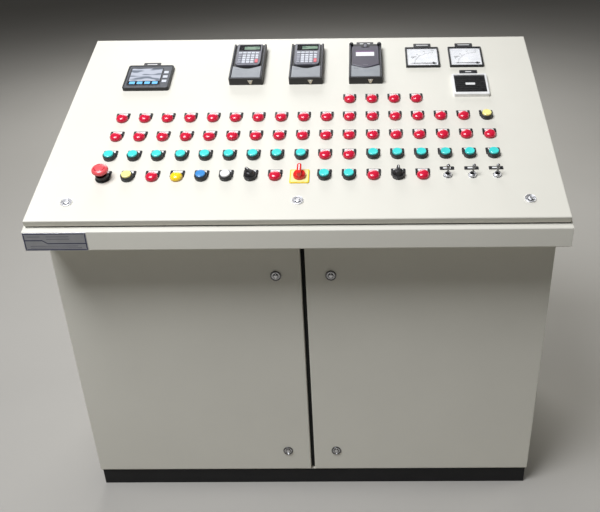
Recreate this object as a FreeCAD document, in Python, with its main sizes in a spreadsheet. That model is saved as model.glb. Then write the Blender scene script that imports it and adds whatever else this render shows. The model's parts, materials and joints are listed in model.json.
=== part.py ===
import FreeCAD, Part

import math
import os
import re

import Sketcher

# Operator control desk for a group of drives. Millimetres and degrees.
# X runs to the operator's right, Y to the rear, Z up. The origin is on the floor, under the
# middle of the desk.

DIMENSIONS = {
    # Console head and lid
    "front_y": -368.3,
    "shell_width": 1280,
    "tray_face": 49,
    "tray_recess": 107,
    "rim_reach": 15,
    "rim_width": 25,
    "lid_slope": 20,
    "lid_length": 760,
    "lid_width": 1270,
    "lid_lip": 16.5,
    "seal_gap": 4.5,
    "seal_width": 12,
    "seal_inset": 1.5,
    "seal_slack": 0.5,
    # Cabinet
    "sheet": 2,
    "cabinet_width": 1270,
    "base_top": 848,
    "plinth_height": 52,
    "pan_setback": 6,
    "plinth_inset": 5,
    "plinth_flange": 50,
    "plinth_wall": 3,
    "anchor_inset": 25,
    "anchor_radius": 7,
    "ledge_width": 28,
    "frame_width": 30,
    "post_width": 70,
    "post_depth": 40,
    "entry_radius": 16.25,
    "entry_pitch": 120,
    "entry_setback": 150,
    "louvre_length": 150,
    "louvre_height": 5,
    "louvre_pitch": 16,
    "louvre_offset": 200,
    "louvre_low": 620,
    "louvre_count": 8,
    # Doors
    "door_depth": 20,
    "door_gap": 3,
    "door_split": 11,
    "frame_gap": 3.5,
    "pivot_inset": 7,
    "pivot_radius": 4,
    "pivot_bore": 4.1,
    "pivot_reach": 16,
    "lock_offset": 70.5,
    "lock_low": 72,
    "lock_high": 660,
    # Quarter-turn locks
    "lock_radius": 14,
    "lock_collar_bore": 11.4,
    "lock_collar_height": 3,
    "lock_head": 11,
    "lock_head_low": 0.5,
    "lock_head_top": 3.6,
    "lock_core": 9,
    "lock_hole": 9.4,
    "lock_slot_width": 3,
    "lock_slot_length": 13,
    "lock_slot_depth": 2,
    "cam_depth": 27.5,
    "cam_thickness": 2,
    "cam_reach": 45,
    "cam_width": 14,
    "lid_lock_offset": 547.5,
    "lid_lock_setback": 62,
    # Lid hinges
    "hinge_back": 5,
    "hinge_pin_radius": 2.5,
    "hinge_bore": 2.55,
    "knuckle_radius": 4.5,
    "knuckle_half": 9.5,
    "hinge_half": 30,
    "knuckle_play": 0.5,
    "hinge_pitch": 450,
    "leaf_drop": 34,
    # Device grid on the lid
    "column_pitch": 60,
    "row_pitch": 76.8,
    "first_row": 146,
    "hole_radius": 11.2,
    "barrel_radius": 11,
    "barrel_length": 14,
    "block_width": 30,
    "block_length": 40,
    "block_height": 30,
    "lamp_radius": 14.75,
    "lamp_height": 14,
    "lamp_round": 7,
    "collar_radius": 15.5,
    "collar_height": 12,
    "collar_bore": 12.5,
    "collar_floor": 1,
    "cap_radius": 12,
    "cap_low": 6,
    "cap_top": 16,
    "cap_round": 1.5,
    "plate_width": 35,
    "plate_reach": 25,
    "plate_thickness": 1.5,
    "plate_bore": 15.8,
    # Emergency stop
    "stop_stem": 8,
    "stop_stem_low": 9,
    "stop_stem_top": 24.5,
    "stop_bore": 8.1,
    "stop_bore_top": 24.9,
    "stop_low": 18,
    "stop_top": 36,
    "stop_neck": 12,
    "stop_neck_top": 22.5,
    "stop_rim_low": 24.5,
    "stop_radius": 20,
    "stop_round": 6,
    # Selectors, cam switch and toggles
    "rotor_low": 1.4,
    "rotor_top": 12.5,
    "grip_width": 11,
    "grip_length": 30,
    "grip_top": 24,
    "grip_turn": 45,
    "cam_plate": 48,
    "cam_plate_height": 3,
    "knob_radius": 15.5,
    "knob_low": 3.4,
    "knob_top": 12,
    "knob_grip_width": 12,
    "knob_grip_front": 13.5,
    "knob_grip_back": 24,
    "knob_grip_low": 7.4,
    "knob_grip_top": 24,
    "toggle_radius": 11,
    "toggle_bore": 6.5,
    "toggle_height": 6,
    "toggle_ball": 4.5,
    "toggle_pivot": 6,
    "lever_length": 26,
    "lever_thin": 2,
    "lever_thick": 3.2,
    "lever_lean": 12.5,
    "lever_lean_side": 6,
    # Touch panel, keypads, meters and hooter
    "hmi_x": -443,
    "hmi_y": 559,
    "hmi_width": 128,
    "hmi_length": 110,
    "hmi_height": 10,
    "hmi_round": 6,
    "screen_width": 100,
    "screen_length": 74,
    "screen_depth": 1,
    "keypad_x": -2,
    "keypad_pitch": 166,
    "keypad_y": 613,
    "keypad_width": 93,
    "keypad_length": 172,
    "keypad_height": 22,
    "keypad_round": 5,
    "meter_size": 96,
    "meter_height": 6,
    "meter_window": 86,
    "meter_dial": 2,
    "meter_left": 327,
    "meter_right": 451,
    "meter_y": 650,
    "needle_x": 31,
    "needle_y": -30,
    "needle_low": 2.5,
    "needle_thickness": 1.2,
    "needle_hub": 4,
    "needle_width": 1.6,
    "needle_length": 62,
    "hooter_x": 451,
    "hooter_y": 511,
    "hooter_height": 9,
    "hooter_window_width": 84,
    "hooter_window_length": 80,
    "hooter_depth": 4,
    # Inside the cabinet
    "plate_gap": 40,
    "mount_width": 1120,
    "mount_low": 110,
    "mount_high": 800,
    "mount_sheet": 3,
    "standoff_radius": 8,
    "standoff_inset": 40,
    "drive_width": 190,
    "drive_height": 340,
    "drive_depth": 175,
    "drive_low": 330,
    "drive_pitch": 300,
    "drive_cover_inset": 12,
    "drive_cover_height": 210,
    "drive_cover_depth": 8,
}

# Lengths that follow from the driving dimensions.
FORMULAS = {
    "rim_drop": "lid_lip + seal_gap",
    "lid_edge_y": "front_y + rim_reach * cos(lid_slope) - rim_drop * sin(lid_slope)",
    "lid_edge_z": "face_top + rim_drop * cos(lid_slope) + rim_reach * sin(lid_slope)",
    "face_top": "base_top + tray_face",
    "back_y": "lid_edge_y + lid_length * cos(lid_slope) + rim_drop * sin(lid_slope)",
    "rear_rim_z": "lid_edge_z + lid_length * sin(lid_slope) - rim_drop * cos(lid_slope)",
    "rim_inner_y": "front_y + (rim_reach + rim_width) * cos(lid_slope)",
    "rim_inner_z": "face_top + (rim_reach + rim_width) * sin(lid_slope)",
    "rear_inner_y": "back_y - rim_width * cos(lid_slope)",
    "rear_inner_z": "rear_rim_z - rim_width * sin(lid_slope)",
    "fold_y": "sheet * sin(lid_slope)",
    "fold_z": "sheet * cos(lid_slope)",
    "door_front": "front_y + tray_recess",
    "door_back": "door_front + door_depth",
    "frame_front": "door_back + frame_gap",
    "frame_back": "frame_front + sheet",
    "deck_top": "plinth_height + sheet",
    "door_bottom": "deck_top + door_gap",
    "door_top": "base_top - door_gap",
    "half_cabinet": "cabinet_width / 2",
    "half_lid": "lid_width / 2",
    "half_shell": "shell_width / 2",
    "half_inner": "half_shell - sheet",
    "pivot_x": "half_cabinet - pivot_inset",
    "pivot_y": "door_back - pivot_inset",
    "half_plinth": "half_cabinet - plinth_inset",
    "plinth_front": "door_front + plinth_inset",
    "plinth_back": "back_y - plinth_inset",
    "hinge_h": "0 - lid_lip - seal_gap / 2",
    "hinge_v": "lid_length + hinge_back",
    "hinge_y": "lid_edge_y + hinge_v * cos(lid_slope) - hinge_h * sin(lid_slope)",
    "hinge_z": "lid_edge_z + hinge_v * sin(lid_slope) + hinge_h * cos(lid_slope)",
    "plate_back": "back_y - plate_gap",
    "plate_front": "plate_back - mount_sheet",
}

# One letter for each 22 mm device, front row first, from the operator's left to right.
# R red lamp, Y yellow lamp, T teal, P pale yellow, B blue and W white push button,
# E emergency stop, S selector, C cam switch, G toggle switch, . nothing.
PANEL_ROWS = [
    "EPRYBWSRCTTRSRGGG",
    "TTTTTTTTTRRTTTTTT",
    "RRRRRRRRRRRRRRRRR",
    "RRRRRRRRRRRRRRRRP",
    "..........RRRR...",
]
FULL_ROWS = 4
MIDDLE_COLUMN = 8
BUTTON_NAMES = {"T": "teal_button", "P": "pale_button", "B": "blue_button", "W": "white_button"}

# Each axis: the origin plane square to it, and the sign of that plane's normal along it.
PLANES = {"x": ("YZ_Plane", 1), "y": ("XZ_Plane", -1), "z": ("XY_Plane", 1)}

doc = FreeCAD.newDocument("ControlDesk")
nodes = []


def make_sheet():
    sheet = doc.addObject("Spreadsheet::Sheet", "Dims")
    for row, (name, value) in enumerate(DIMENSIONS.items(), start=1):
        sheet.set(f"A{row}", name)
        sheet.set(f"B{row}", str(value))
        sheet.setAlias(f"B{row}", name)
    doc.recompute()
    return sheet


dims = make_sheet()


def value(name):
    return float(dims.get(name))


def expand(text):
    """An expression with each dimension pointed at its cell and each formula written out."""

    def one(match):
        word = match.group()
        if word in FORMULAS:
            return "(" + expand(FORMULAS[word]) + ")"
        if word in DIMENSIONS:
            return "Dims." + word
        return word

    return re.sub(r"[a-z][a-z_]*", one, str(text))


def bind(item, **expressions):
    for path, text in expressions.items():
        item.setExpression(path.replace("__", "."), expand(text))


def add_node(item, label):
    item.Label = label
    nodes.append(item)
    return item


# Placement helpers


def place(item, x=0, y=0, z=0):
    bind(item, Placement__Base__x=x, Placement__Base__y=y, Placement__Base__z=z)
    return item


def on_slope(item, x, v, rise, edge_y, edge_z, slope):
    """Stand a piece on a tilted face: v up the face from its lower edge, rise out of it."""
    item.Placement = FreeCAD.Placement(
        FreeCAD.Vector(), FreeCAD.Rotation(FreeCAD.Vector(1, 0, 0), 1)
    )
    bind(
        item,
        Placement__Base__x=x,
        Placement__Base__y=f"{edge_y} + ({v}) * cos({slope}) - ({rise}) * sin({slope})",
        Placement__Base__z=f"{edge_z} + ({v}) * sin({slope}) + ({rise}) * cos({slope})",
        Placement__Rotation__Angle=slope,
    )
    return item


def on_lid(item, x=0, v=0, rise=0):
    return on_slope(item, x, v, rise, "lid_edge_y", "lid_edge_z", "lid_slope")


def on_door(item, x, up):
    return on_slope(item, x, up, 0, "door_front", "door_bottom", "90")


# Primitive helpers


def block(xs, ys, zs):
    """A box between two expressions along each axis."""
    box = doc.addObject("Part::Box", "Block")
    bind(box, Length=f"{xs[1]} - ({xs[0]})", Width=f"{ys[1]} - ({ys[0]})")
    bind(box, Height=f"{zs[1]} - ({zs[0]})")
    return place(box, xs[0], ys[0], zs[0])


def post(radius, low, high, x=0, y=0):
    """An upright cylinder."""
    rod = doc.addObject("Part::Cylinder", "Post")
    bind(rod, Radius=radius, Height=f"{high} - ({low})")
    return place(rod, x, y, low)


def rod_along(axis, radius, low, high, across):
    """A cylinder along X or Y; across gives its place on the other two axes."""
    rod = doc.addObject("Part::Cylinder", "Rod")
    bind(rod, Radius=radius, Height=f"{high} - ({low})")
    turn = {"x": ((0, 1, 0), 90), "y": ((1, 0, 0), -90)}[axis]
    rod.Placement = FreeCAD.Placement(
        FreeCAD.Vector(), FreeCAD.Rotation(FreeCAD.Vector(*turn[0]), turn[1])
    )
    spot = {"x": (low, *across), "y": (across[0], low, across[1])}[axis]
    return place(rod, *spot)


def fuse(*items):
    joined = doc.addObject("Part::MultiFuse", "Fuse")
    joined.Shapes = list(items)
    return joined


def cut(base, tool):
    result = doc.addObject("Part::Cut", "Cut")
    result.Base = base
    result.Tool = tool
    return result


def group(*items):
    """Pieces that belong to one sub-part but stay separate solids."""
    together = doc.addObject("Part::Compound", "Group")
    together.Links = list(items)
    return together


def copies(template, spots):
    """One feature with the template repeated at each (x, y) of its own plane."""
    repeated = doc.addObject("Part::Feature", "Copies")
    shapes = []
    for x, y in spots:
        shape = template.Shape.copy()
        shape.translate(FreeCAD.Vector(x, y, 0))
        shapes.append(shape)
    repeated.Shape = Part.makeCompound(shapes)
    return repeated


# Part design helpers


def new_body(label):
    body = doc.addObject("PartDesign::Body", "Body")
    body.Label = label
    return body


def origin_feature(body, role):
    return [item for item in body.Origin.OriginFeatures if item.Role == role][0]


def add_polygon(sketch, corners):
    """A closed outline whose corners sit at pairs of expressions."""
    first = sketch.GeometryCount
    count = len(corners)
    rough = [
        FreeCAD.Vector(math.cos(math.tau * i / count), math.sin(math.tau * i / count), 0)
        for i in range(count)
    ]
    for i in range(count):
        sketch.addGeometry(Part.LineSegment(rough[i], rough[(i + 1) % count]), False)
    for i in range(count):
        following = first + (i + 1) % count
        sketch.addConstraint(Sketcher.Constraint("Coincident", first + i, 2, following, 1))
    for i, corner in enumerate(corners):
        for kind, text in zip(("DistanceX", "DistanceY"), corner):
            made = sketch.addConstraint(Sketcher.Constraint(kind, -1, 1, first + i, 1, 1.0))
            sketch.setExpression(f"Constraints[{made}]", expand(text))


def add_circle(sketch, centre_x, centre_y, radius):
    circle = Part.Circle(FreeCAD.Vector(1, 1, 0), FreeCAD.Vector(0, 0, 1), 1)
    index = sketch.addGeometry(circle, False)
    for kind, text in (("DistanceX", centre_x), ("DistanceY", centre_y)):
        made = sketch.addConstraint(Sketcher.Constraint(kind, -1, 1, index, 3, 1.0))
        sketch.setExpression(f"Constraints[{made}]", expand(text))
    made = sketch.addConstraint(Sketcher.Constraint("Radius", index, 1.0))
    sketch.setExpression(f"Constraints[{made}]", expand(radius))


def new_sketch(body, plane, offset):
    sketch = body.newObject("Sketcher::SketchObject", "Outline")
    sketch.AttachmentSupport = [(origin_feature(body, plane), "")]
    sketch.MapMode = "FlatFace"
    sketch.setExpression("AttachmentOffset.Base.z", expand(offset))
    return sketch


def draw(sketch, outlines):
    for outline in outlines:
        if len(outline) == 3 and not isinstance(outline[0], tuple):
            add_circle(sketch, *outline)
        else:
            add_polygon(sketch, outline)


def pad(body, axis, low, high, *outlines):
    """Material between two places along an axis. An outline is a polygon or a circle."""
    plane, sign = PLANES[axis]
    sketch = new_sketch(body, plane, low if sign > 0 else f"0 - ({high})")
    draw(sketch, outlines)
    feature = body.newObject("PartDesign::Pad", "Pad")
    feature.Profile = sketch
    bind(feature, Length=f"{high} - ({low})")
    body.Tip = feature
    return feature


def pocket(body, axis, low, high, *outlines):
    """The same between two places, taken away."""
    plane, sign = PLANES[axis]
    sketch = new_sketch(body, plane, high if sign > 0 else f"0 - ({low})")
    draw(sketch, outlines)
    feature = body.newObject("PartDesign::Pocket", "Pocket")
    feature.Profile = sketch
    bind(feature, Length=f"{high} - ({low})")
    body.Tip = feature
    return feature


def revolve(body, *outlines):
    """Outlines of radius and height, turned about the body's Z axis."""
    sketch = new_sketch(body, "XZ_Plane", "0")
    draw(sketch, outlines)
    feature = body.newObject("PartDesign::Revolution", "Revolution")
    feature.Profile = sketch
    feature.ReferenceAxis = (sketch, ["V_Axis"])
    feature.Angle = 360
    body.Tip = feature
    return feature


def repeat(body, features, axis_role, length, count):
    pattern = body.newObject("PartDesign::LinearPattern", "Pattern")
    pattern.Originals = features
    pattern.Direction = (origin_feature(body, axis_role), [""])
    bind(pattern, Length=length)
    pattern.Occurrences = count
    body.Tip = pattern
    return pattern


def round_edges(body, radius, wanted):
    """Fillet the tip's edges that the test accepts."""
    doc.recompute()
    base = body.Tip
    edges = base.Shape.Edges
    names = [f"Edge{i + 1}" for i, edge in enumerate(edges) if wanted(edge)]
    fillet = body.newObject("PartDesign::Fillet", "Fillet")
    fillet.Base = (base, names)
    bind(fillet, Radius=radius)
    body.Tip = fillet
    return fillet


def edge_height(edge):
    return edge.BoundBox.ZMin, edge.BoundBox.ZMax


def rectangle(low_x, high_x, low_y, high_y):
    return [(low_x, low_y), (high_x, low_y), (high_x, high_y), (low_x, high_y)]


# Cabinet


def make_plinth():
    body = new_body("plinth")
    outer = rectangle("0 - half_plinth", "half_plinth", "plinth_front", "plinth_back")
    pad(body, "z", "0", "plinth_height", outer)
    wall = "plinth_wall"
    inner = rectangle(
        f"{wall} - half_plinth", f"half_plinth - {wall}",
        f"plinth_front + {wall}", f"plinth_back - {wall}",
    )
    pocket(body, "z", wall, "plinth_height", inner)
    rim = "plinth_flange"
    hollow = rectangle(
        f"{rim} - half_plinth", f"half_plinth - {rim}",
        f"plinth_front + {rim}", f"plinth_back - {rim}",
    )
    anchors = [
        (x, y, "anchor_radius")
        for x in ("anchor_inset - half_plinth", "half_plinth - anchor_inset")
        for y in ("plinth_front + anchor_inset", "plinth_back - anchor_inset")
    ]
    pocket(body, "z", "0", wall, hollow, *anchors)
    return add_node(body, "plinth")


def make_floor_pan():
    body = new_body("floor_pan")
    outline = rectangle("0 - half_cabinet", "half_cabinet", "door_front + pan_setback", "back_y")
    entries = [
        (f"{step} * entry_pitch", "back_y - entry_setback", "entry_radius")
        for step in (-1.5, -0.5, 0.5, 1.5)
    ]
    pad(body, "z", "plinth_height", "deck_top", outline, *entries)
    return add_node(body, "floor_pan")


def make_side(label, sign):
    """Side wall: flat below, stepping out to the wider console cheek, with a rim for the lid."""

    def span(inner, outer):
        ends = (f"{sign} * ({inner})", f"{sign} * ({outer})")
        return ends if sign > 0 else ends[::-1]

    body = new_body(label)
    cheek = [
        ("front_y", "base_top"), ("back_y", "base_top"),
        ("back_y", "rear_rim_z"), ("front_y", "face_top"),
    ]
    pad(body, "x", *span("half_inner", "half_shell"), cheek)
    ledge = rectangle("frame_back", "back_y - sheet", "base_top", "base_top + sheet")
    pad(body, "x", *span("half_inner - ledge_width", "half_inner"), ledge)
    wall = rectangle("frame_front", "back_y - sheet", "deck_top", "base_top")
    pad(body, "x", *span("half_cabinet - sheet", "half_cabinet"), wall)
    rim = [
        ("rim_inner_y", "rim_inner_z"), ("rear_inner_y", "rear_inner_z"),
        ("rear_inner_y + fold_y", "rear_inner_z - fold_z"),
        ("rim_inner_y + fold_y", "rim_inner_z - fold_z"),
    ]
    pad(body, "x", *span("half_inner - rim_width", "half_inner"), rim)
    return add_node(body, label)


def make_rear_panel():
    body = new_body("rear_panel")
    half_low, half_high = "half_cabinet", "half_inner"
    outline = [
        (f"0 - {half_low}", "deck_top"), (half_low, "deck_top"), (half_low, "base_top"),
        (half_high, "base_top"), (half_high, "rear_rim_z - sheet"),
        (f"0 - {half_high}", "rear_rim_z - sheet"), (f"0 - {half_high}", "base_top"),
        (f"0 - {half_low}", "base_top"),
    ]
    pad(body, "y", "back_y - sheet", "back_y", outline)
    rim = [
        ("back_y", "rear_rim_z"), ("rear_inner_y", "rear_inner_z"),
        ("rear_inner_y + fold_y", "rear_inner_z - fold_z"), ("back_y", "rear_rim_z - sheet"),
    ]
    pad(body, "x", f"0 - {half_high}", half_high, rim)
    slots = [
        rectangle(
            f"{side} * louvre_offset - louvre_length / 2",
            f"{side} * louvre_offset + louvre_length / 2",
            "louvre_low", "louvre_low + louvre_height",
        )
        for side in (-1, 1)
    ]
    slot = pocket(body, "y", "back_y - sheet", "back_y", *slots)
    count = int(value("louvre_count"))
    repeat(body, [slot], "Z_Axis", f"{count - 1} * louvre_pitch", count)
    return add_node(body, "rear_panel")


def make_door_frame():
    """Rails round the doorway and the tee-shaped post that both doors lock behind."""
    depth = ("frame_front", "frame_back")
    side = "half_cabinet - sheet"
    rail = "frame_width"
    pieces = []
    for low, high in (("deck_top", f"deck_top + {rail}"), (f"base_top - {rail}", "base_top")):
        pieces.append(block((f"0 - ({side})", side), depth, (low, high)))
    upright = (f"deck_top + {rail}", f"base_top - {rail}")
    pieces.append(block((f"0 - ({side})", f"{rail} - ({side})"), depth, upright))
    pieces.append(block((f"{side} - {rail}", side), depth, upright))
    pieces.append(block(("0 - post_width / 2", "post_width / 2"), depth, upright))
    web = ("frame_back", "frame_back + post_depth")
    pieces.append(block(("0 - sheet / 2", "sheet / 2"), web, ("deck_top", "base_top")))
    return add_node(group(*pieces), "door_frame")


def make_console_tray():
    """Underside, face and rim: three strips of sheet that meet along the folds."""
    inner_fold = ("front_y + sheet", "face_top + sheet * tan(lid_slope) - sheet / cos(lid_slope)")
    outlines = [
        rectangle("front_y", "frame_back", "base_top", "base_top + sheet"),
        [
            ("front_y", "base_top + sheet"), ("front_y + sheet", "base_top + sheet"),
            inner_fold, ("front_y", "face_top"),
        ],
        [
            ("front_y", "face_top"), inner_fold,
            ("rim_inner_y + fold_y", "rim_inner_z - fold_z"), ("rim_inner_y", "rim_inner_z"),
        ],
    ]
    strips = []
    for outline in outlines:
        strip = new_body("strip")
        pad(strip, "x", "0 - half_inner", "half_inner", outline)
        strips.append(strip)
    return add_node(group(*strips), "console_tray")


def make_mounting_plate():
    half = "mount_width / 2"
    plate = block(
        (f"0 - {half}", half), ("plate_front", "plate_back"), ("mount_low", "mount_high")
    )
    standoffs = [
        rod_along("y", "standoff_radius", "plate_back", "back_y - sheet", (x, z))
        for x in (f"standoff_inset - {half}", f"{half} - standoff_inset")
        for z in ("mount_low + standoff_inset", "mount_high - standoff_inset")
    ]
    return add_node(fuse(plate, *standoffs), "mounting_plate")


def make_drive_units():
    units = []
    for step in (-1, 0, 1):
        middle = f"{step} * drive_pitch"
        face = "plate_front - drive_depth"
        case = block(
            (f"{middle} - drive_width / 2", f"{middle} + drive_width / 2"),
            (face, "plate_front"),
            ("drive_low", "drive_low + drive_height"),
        )
        half_cover = "drive_width / 2 - drive_cover_inset"
        top = "drive_low + drive_height - drive_cover_inset"
        cover = block(
            (f"{middle} - ({half_cover})", f"{middle} + {half_cover}"),
            (f"{face} - drive_cover_depth", face),
            (f"{top} - drive_cover_height", top),
        )
        units += [case, cover]
    return add_node(group(*units), "drive_units")


def make_hinge_pins():
    """Door pivots standing on the floor pan and hanging from the tray, and the lid's hinges."""
    pieces = []
    for sign in (-1, 1):
        x = f"{sign} * (pivot_x)"
        reach = "pivot_reach"
        pieces.append(post("pivot_radius", "deck_top", f"deck_top + {reach}", x, "pivot_y"))
        pieces.append(post("pivot_radius", f"base_top - {reach}", "base_top", x, "pivot_y"))
    for step in (-1, 0, 1):
        middle = f"{step} * hinge_pitch"
        ends = (f"{middle} - hinge_half", f"{middle} + hinge_half")
        shoulder = "(knuckle_half + knuckle_play)"
        spans = [(ends[0], f"{middle} - {shoulder}"), (f"{middle} + {shoulder}", ends[1])]
        across = ("hinge_y", "hinge_z")
        knuckles = [rod_along("x", "knuckle_radius", *span, across) for span in spans]
        depth = ("back_y", "back_y + sheet")
        tabs = [block(span, depth, ("rear_rim_z - sheet", "hinge_z")) for span in spans]
        leaf = block(ends, depth, ("rear_rim_z - leaf_drop", "rear_rim_z - sheet"))
        pin = rod_along("x", "hinge_pin_radius", *ends, across)
        pieces.append(fuse(pin, leaf, *knuckles, *tabs))
    return add_node(group(*pieces), "hinge_pins")


# Doors


def make_door(label, sign):
    """A folded pan, hollow at the back, with pivot holes and a collar round each lock."""

    def span(inner, outer):
        ends = (f"{sign} * ({inner})", f"{sign} * ({outer})")
        return ends if sign > 0 else ends[::-1]

    body = new_body(label)
    face = rectangle(*span("door_split / 2", "half_cabinet"), "door_bottom", "door_top")
    pad(body, "y", "door_front", "door_back", face)
    hollow = rectangle(
        *span("door_split / 2 + sheet", "half_cabinet - sheet"),
        "door_bottom + sheet", "door_top - sheet",
    )
    pocket(body, "y", "door_front + sheet", "door_back", hollow)
    pivot = (f"{sign} * (pivot_x)", "pivot_y", "pivot_bore")
    pocket(body, "z", "door_bottom", "door_bottom + sheet", pivot)
    pocket(body, "z", "door_top - sheet", "door_top", pivot)
    spots = [(f"{sign} * lock_offset", f"door_bottom + {low}") for low in ("lock_low", "lock_high")]
    rings = []
    for spot in spots:
        rings += [(*spot, "lock_radius"), (*spot, "lock_collar_bore")]
    pad(body, "y", "door_front - lock_collar_height", "door_front", *rings)
    holes = [(*spot, "lock_hole") for spot in spots]
    pocket(body, "y", "door_front", "door_front + sheet", *holes)
    return add_node(body, label)


def make_lock(label, cam_turn):
    """Turning insert of a quarter-turn lock with its cam: outward is the body's +Z."""
    body = new_body(label)
    low = "0 - cam_depth - cam_thickness"
    profile = [
        ("0", low), ("lock_core", low), ("lock_core", "lock_head_low"),
        ("lock_head", "lock_head_low"), ("lock_head", "lock_head_top"), ("0", "lock_head_top"),
    ]
    revolve(body, profile)
    half = "cam_width / 2"
    cams = {
        "right": rectangle("0", "cam_reach", f"0 - {half}", half),
        "down": rectangle(f"0 - {half}", half, "0 - cam_reach", "0"),
    }
    pad(body, "z", low, "0 - cam_depth", cams[cam_turn])
    slots = {
        "right": rectangle(
            "0 - lock_slot_length / 2", "lock_slot_length / 2",
            "0 - lock_slot_width / 2", "lock_slot_width / 2",
        ),
        "down": rectangle(
            "0 - lock_slot_width / 2", "lock_slot_width / 2",
            "0 - lock_slot_length / 2", "lock_slot_length / 2",
        ),
    }
    pocket(body, "z", "lock_head_top - lock_slot_depth", "lock_head_top", slots[cam_turn])
    return add_node(body, label)


def make_locks():
    for sign, side in ((-1, "left"), (1, "right")):
        for level in ("low", "high"):
            lock = make_lock(f"{side}_door_lock_{level}", "down")
            on_door(lock, f"{sign} * lock_offset", f"lock_{level}")
    for step, side in ((-1, "left"), (0, "middle"), (1, "right")):
        lock = make_lock(f"lid_lock_{side}", "right")
        on_lid(lock, f"{step} * lid_lock_offset", "lid_lock_setback")


# Lid


def column_x(column):
    return f"{column - MIDDLE_COLUMN} * column_pitch"


def row_v(row):
    return f"first_row + {row} * row_pitch"


def make_lid_panel():
    """Folded pan with a hole for every device and lock, and the lid half of each hinge."""
    body = new_body("lid_panel")
    outline = rectangle("0 - half_lid", "half_lid", "0", "lid_length")
    pad(body, "z", "0 - lid_lip", "0", outline)
    hollow = rectangle("sheet - half_lid", "half_lid - sheet", "sheet", "lid_length - sheet")
    pocket(body, "z", "0 - lid_lip", "0 - sheet", hollow)
    row = [
        (column_x(column), "first_row", "hole_radius") for column in range(len(PANEL_ROWS[0]))
    ]
    first = pocket(body, "z", "0 - sheet", "0", *row)
    repeat(body, [first], "Y_Axis", f"{FULL_ROWS - 1} * row_pitch", FULL_ROWS)
    lock_spots = [
        (f"{step} * lid_lock_offset", "lid_lock_setback") for step in (-1, 0, 1)
    ]
    extra = [
        (column_x(column), row_v(FULL_ROWS), "hole_radius")
        for column, kind in enumerate(PANEL_ROWS[FULL_ROWS])
        if kind != "."
    ]
    extra += [(*spot, "lock_hole") for spot in lock_spots]
    pocket(body, "z", "0 - sheet", "0", *extra)
    rings = []
    for spot in lock_spots:
        rings += [(*spot, "lock_radius"), (*spot, "lock_collar_bore")]
    pad(body, "z", "0", "lock_collar_height", *rings)
    low = "0 - hinge_pitch - knuckle_half"
    high = "knuckle_half - hinge_pitch"
    leaf = pad(
        body, "x", low, high,
        rectangle("lid_length", "lid_length + sheet", "0 - lid_lip", "0 - sheet"),
    )
    knuckle = pad(
        body, "x", low, high,
        ("hinge_v", "hinge_h", "knuckle_radius"), ("hinge_v", "hinge_h", "hinge_bore"),
    )
    repeat(body, [leaf, knuckle], "X_Axis", "2 * hinge_pitch", 3)
    return on_lid(add_node(body, "lid_panel"))


def make_lid_seal():
    """A gasket frame under the lid's lip, just clear of the rim it closes on."""
    body = new_body("lid_seal")
    edge, inner = "seal_inset", "(seal_inset + seal_width)"
    outer_loop = rectangle(f"{edge} - half_lid", f"half_lid - {edge}", edge, f"lid_length - {edge}")
    inner_loop = rectangle(
        f"{inner} - half_lid", f"half_lid - {inner}", inner, f"lid_length - {inner}"
    )
    pad(body, "z", "seal_slack - rim_drop", "0 - lid_lip", outer_loop, inner_loop)
    return on_lid(add_node(body, "lid_seal"))


def panel_spots(kinds):
    """Centres on the lid of every device of the given kinds."""
    spots = []
    for row, letters in enumerate(PANEL_ROWS):
        for column, kind in enumerate(letters):
            if kind in kinds:
                x = (column - MIDDLE_COLUMN) * value("column_pitch")
                spots.append((x, value("first_row") + row * value("row_pitch")))
    return spots


def make_cup(radius, bore, height):
    cup = new_body("cup")
    profile = [
        ("0", "0"), (radius, "0"), (radius, height), (bore, height),
        (bore, "collar_floor"), ("0", "collar_floor"),
    ]
    revolve(cup, profile)
    return cup


def make_device_bodies():
    """Barrels through the lid with their contact blocks below and collars above."""

    def under_lid():
        barrel = post("barrel_radius", "0 - barrel_length", "0")
        contact = block(
            ("0 - block_width / 2", "block_width / 2"),
            ("0 - block_length / 2", "block_length / 2"),
            ("0 - barrel_length - block_height", "0 - barrel_length"),
        )
        return barrel, contact

    lamp = fuse(*under_lid())
    button = fuse(make_cup("collar_radius", "collar_bore", "collar_height"), *under_lid())
    toggle = fuse(make_cup("toggle_radius", "toggle_bore", "toggle_height"), *under_lid())
    half = "cam_plate / 2"
    face = block((f"0 - {half}", half), (f"0 - {half}", half), ("0", "cam_plate_height"))
    cam_switch = fuse(face, *under_lid())
    doc.recompute()
    groups = [
        copies(lamp, panel_spots("RY")),
        copies(button, panel_spots("TPBWES")),
        copies(toggle, panel_spots("G")),
        copies(cam_switch, panel_spots("C")),
    ]
    return on_lid(add_node(group(*groups), "device_bodies"))


def make_legend_plates():
    """The plate behind each device, cut round to leave an ear on either side."""
    body = new_body("legend_plate")
    half = "plate_width / 2"
    pad(body, "z", "0", "plate_thickness", rectangle(f"0 - {half}", half, "0", "plate_reach"))
    pocket(body, "z", "0", "plate_thickness", ("0", "0", "plate_bore"))
    doc.recompute()
    return on_lid(add_node(copies(body, panel_spots("RYTPBWS")), "legend_plates"))


def make_lamps():
    body = new_body("lamp")
    pad(body, "z", "0", "lamp_height", ("0", "0", "lamp_radius"))
    round_edges(body, "lamp_round", lambda edge: edge_height(edge)[0] > value("lamp_height") - 1)
    doc.recompute()
    on_lid(add_node(copies(body, panel_spots("R")), "red_lamps"))
    on_lid(add_node(copies(body, panel_spots("Y")), "yellow_lamp"))


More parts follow.
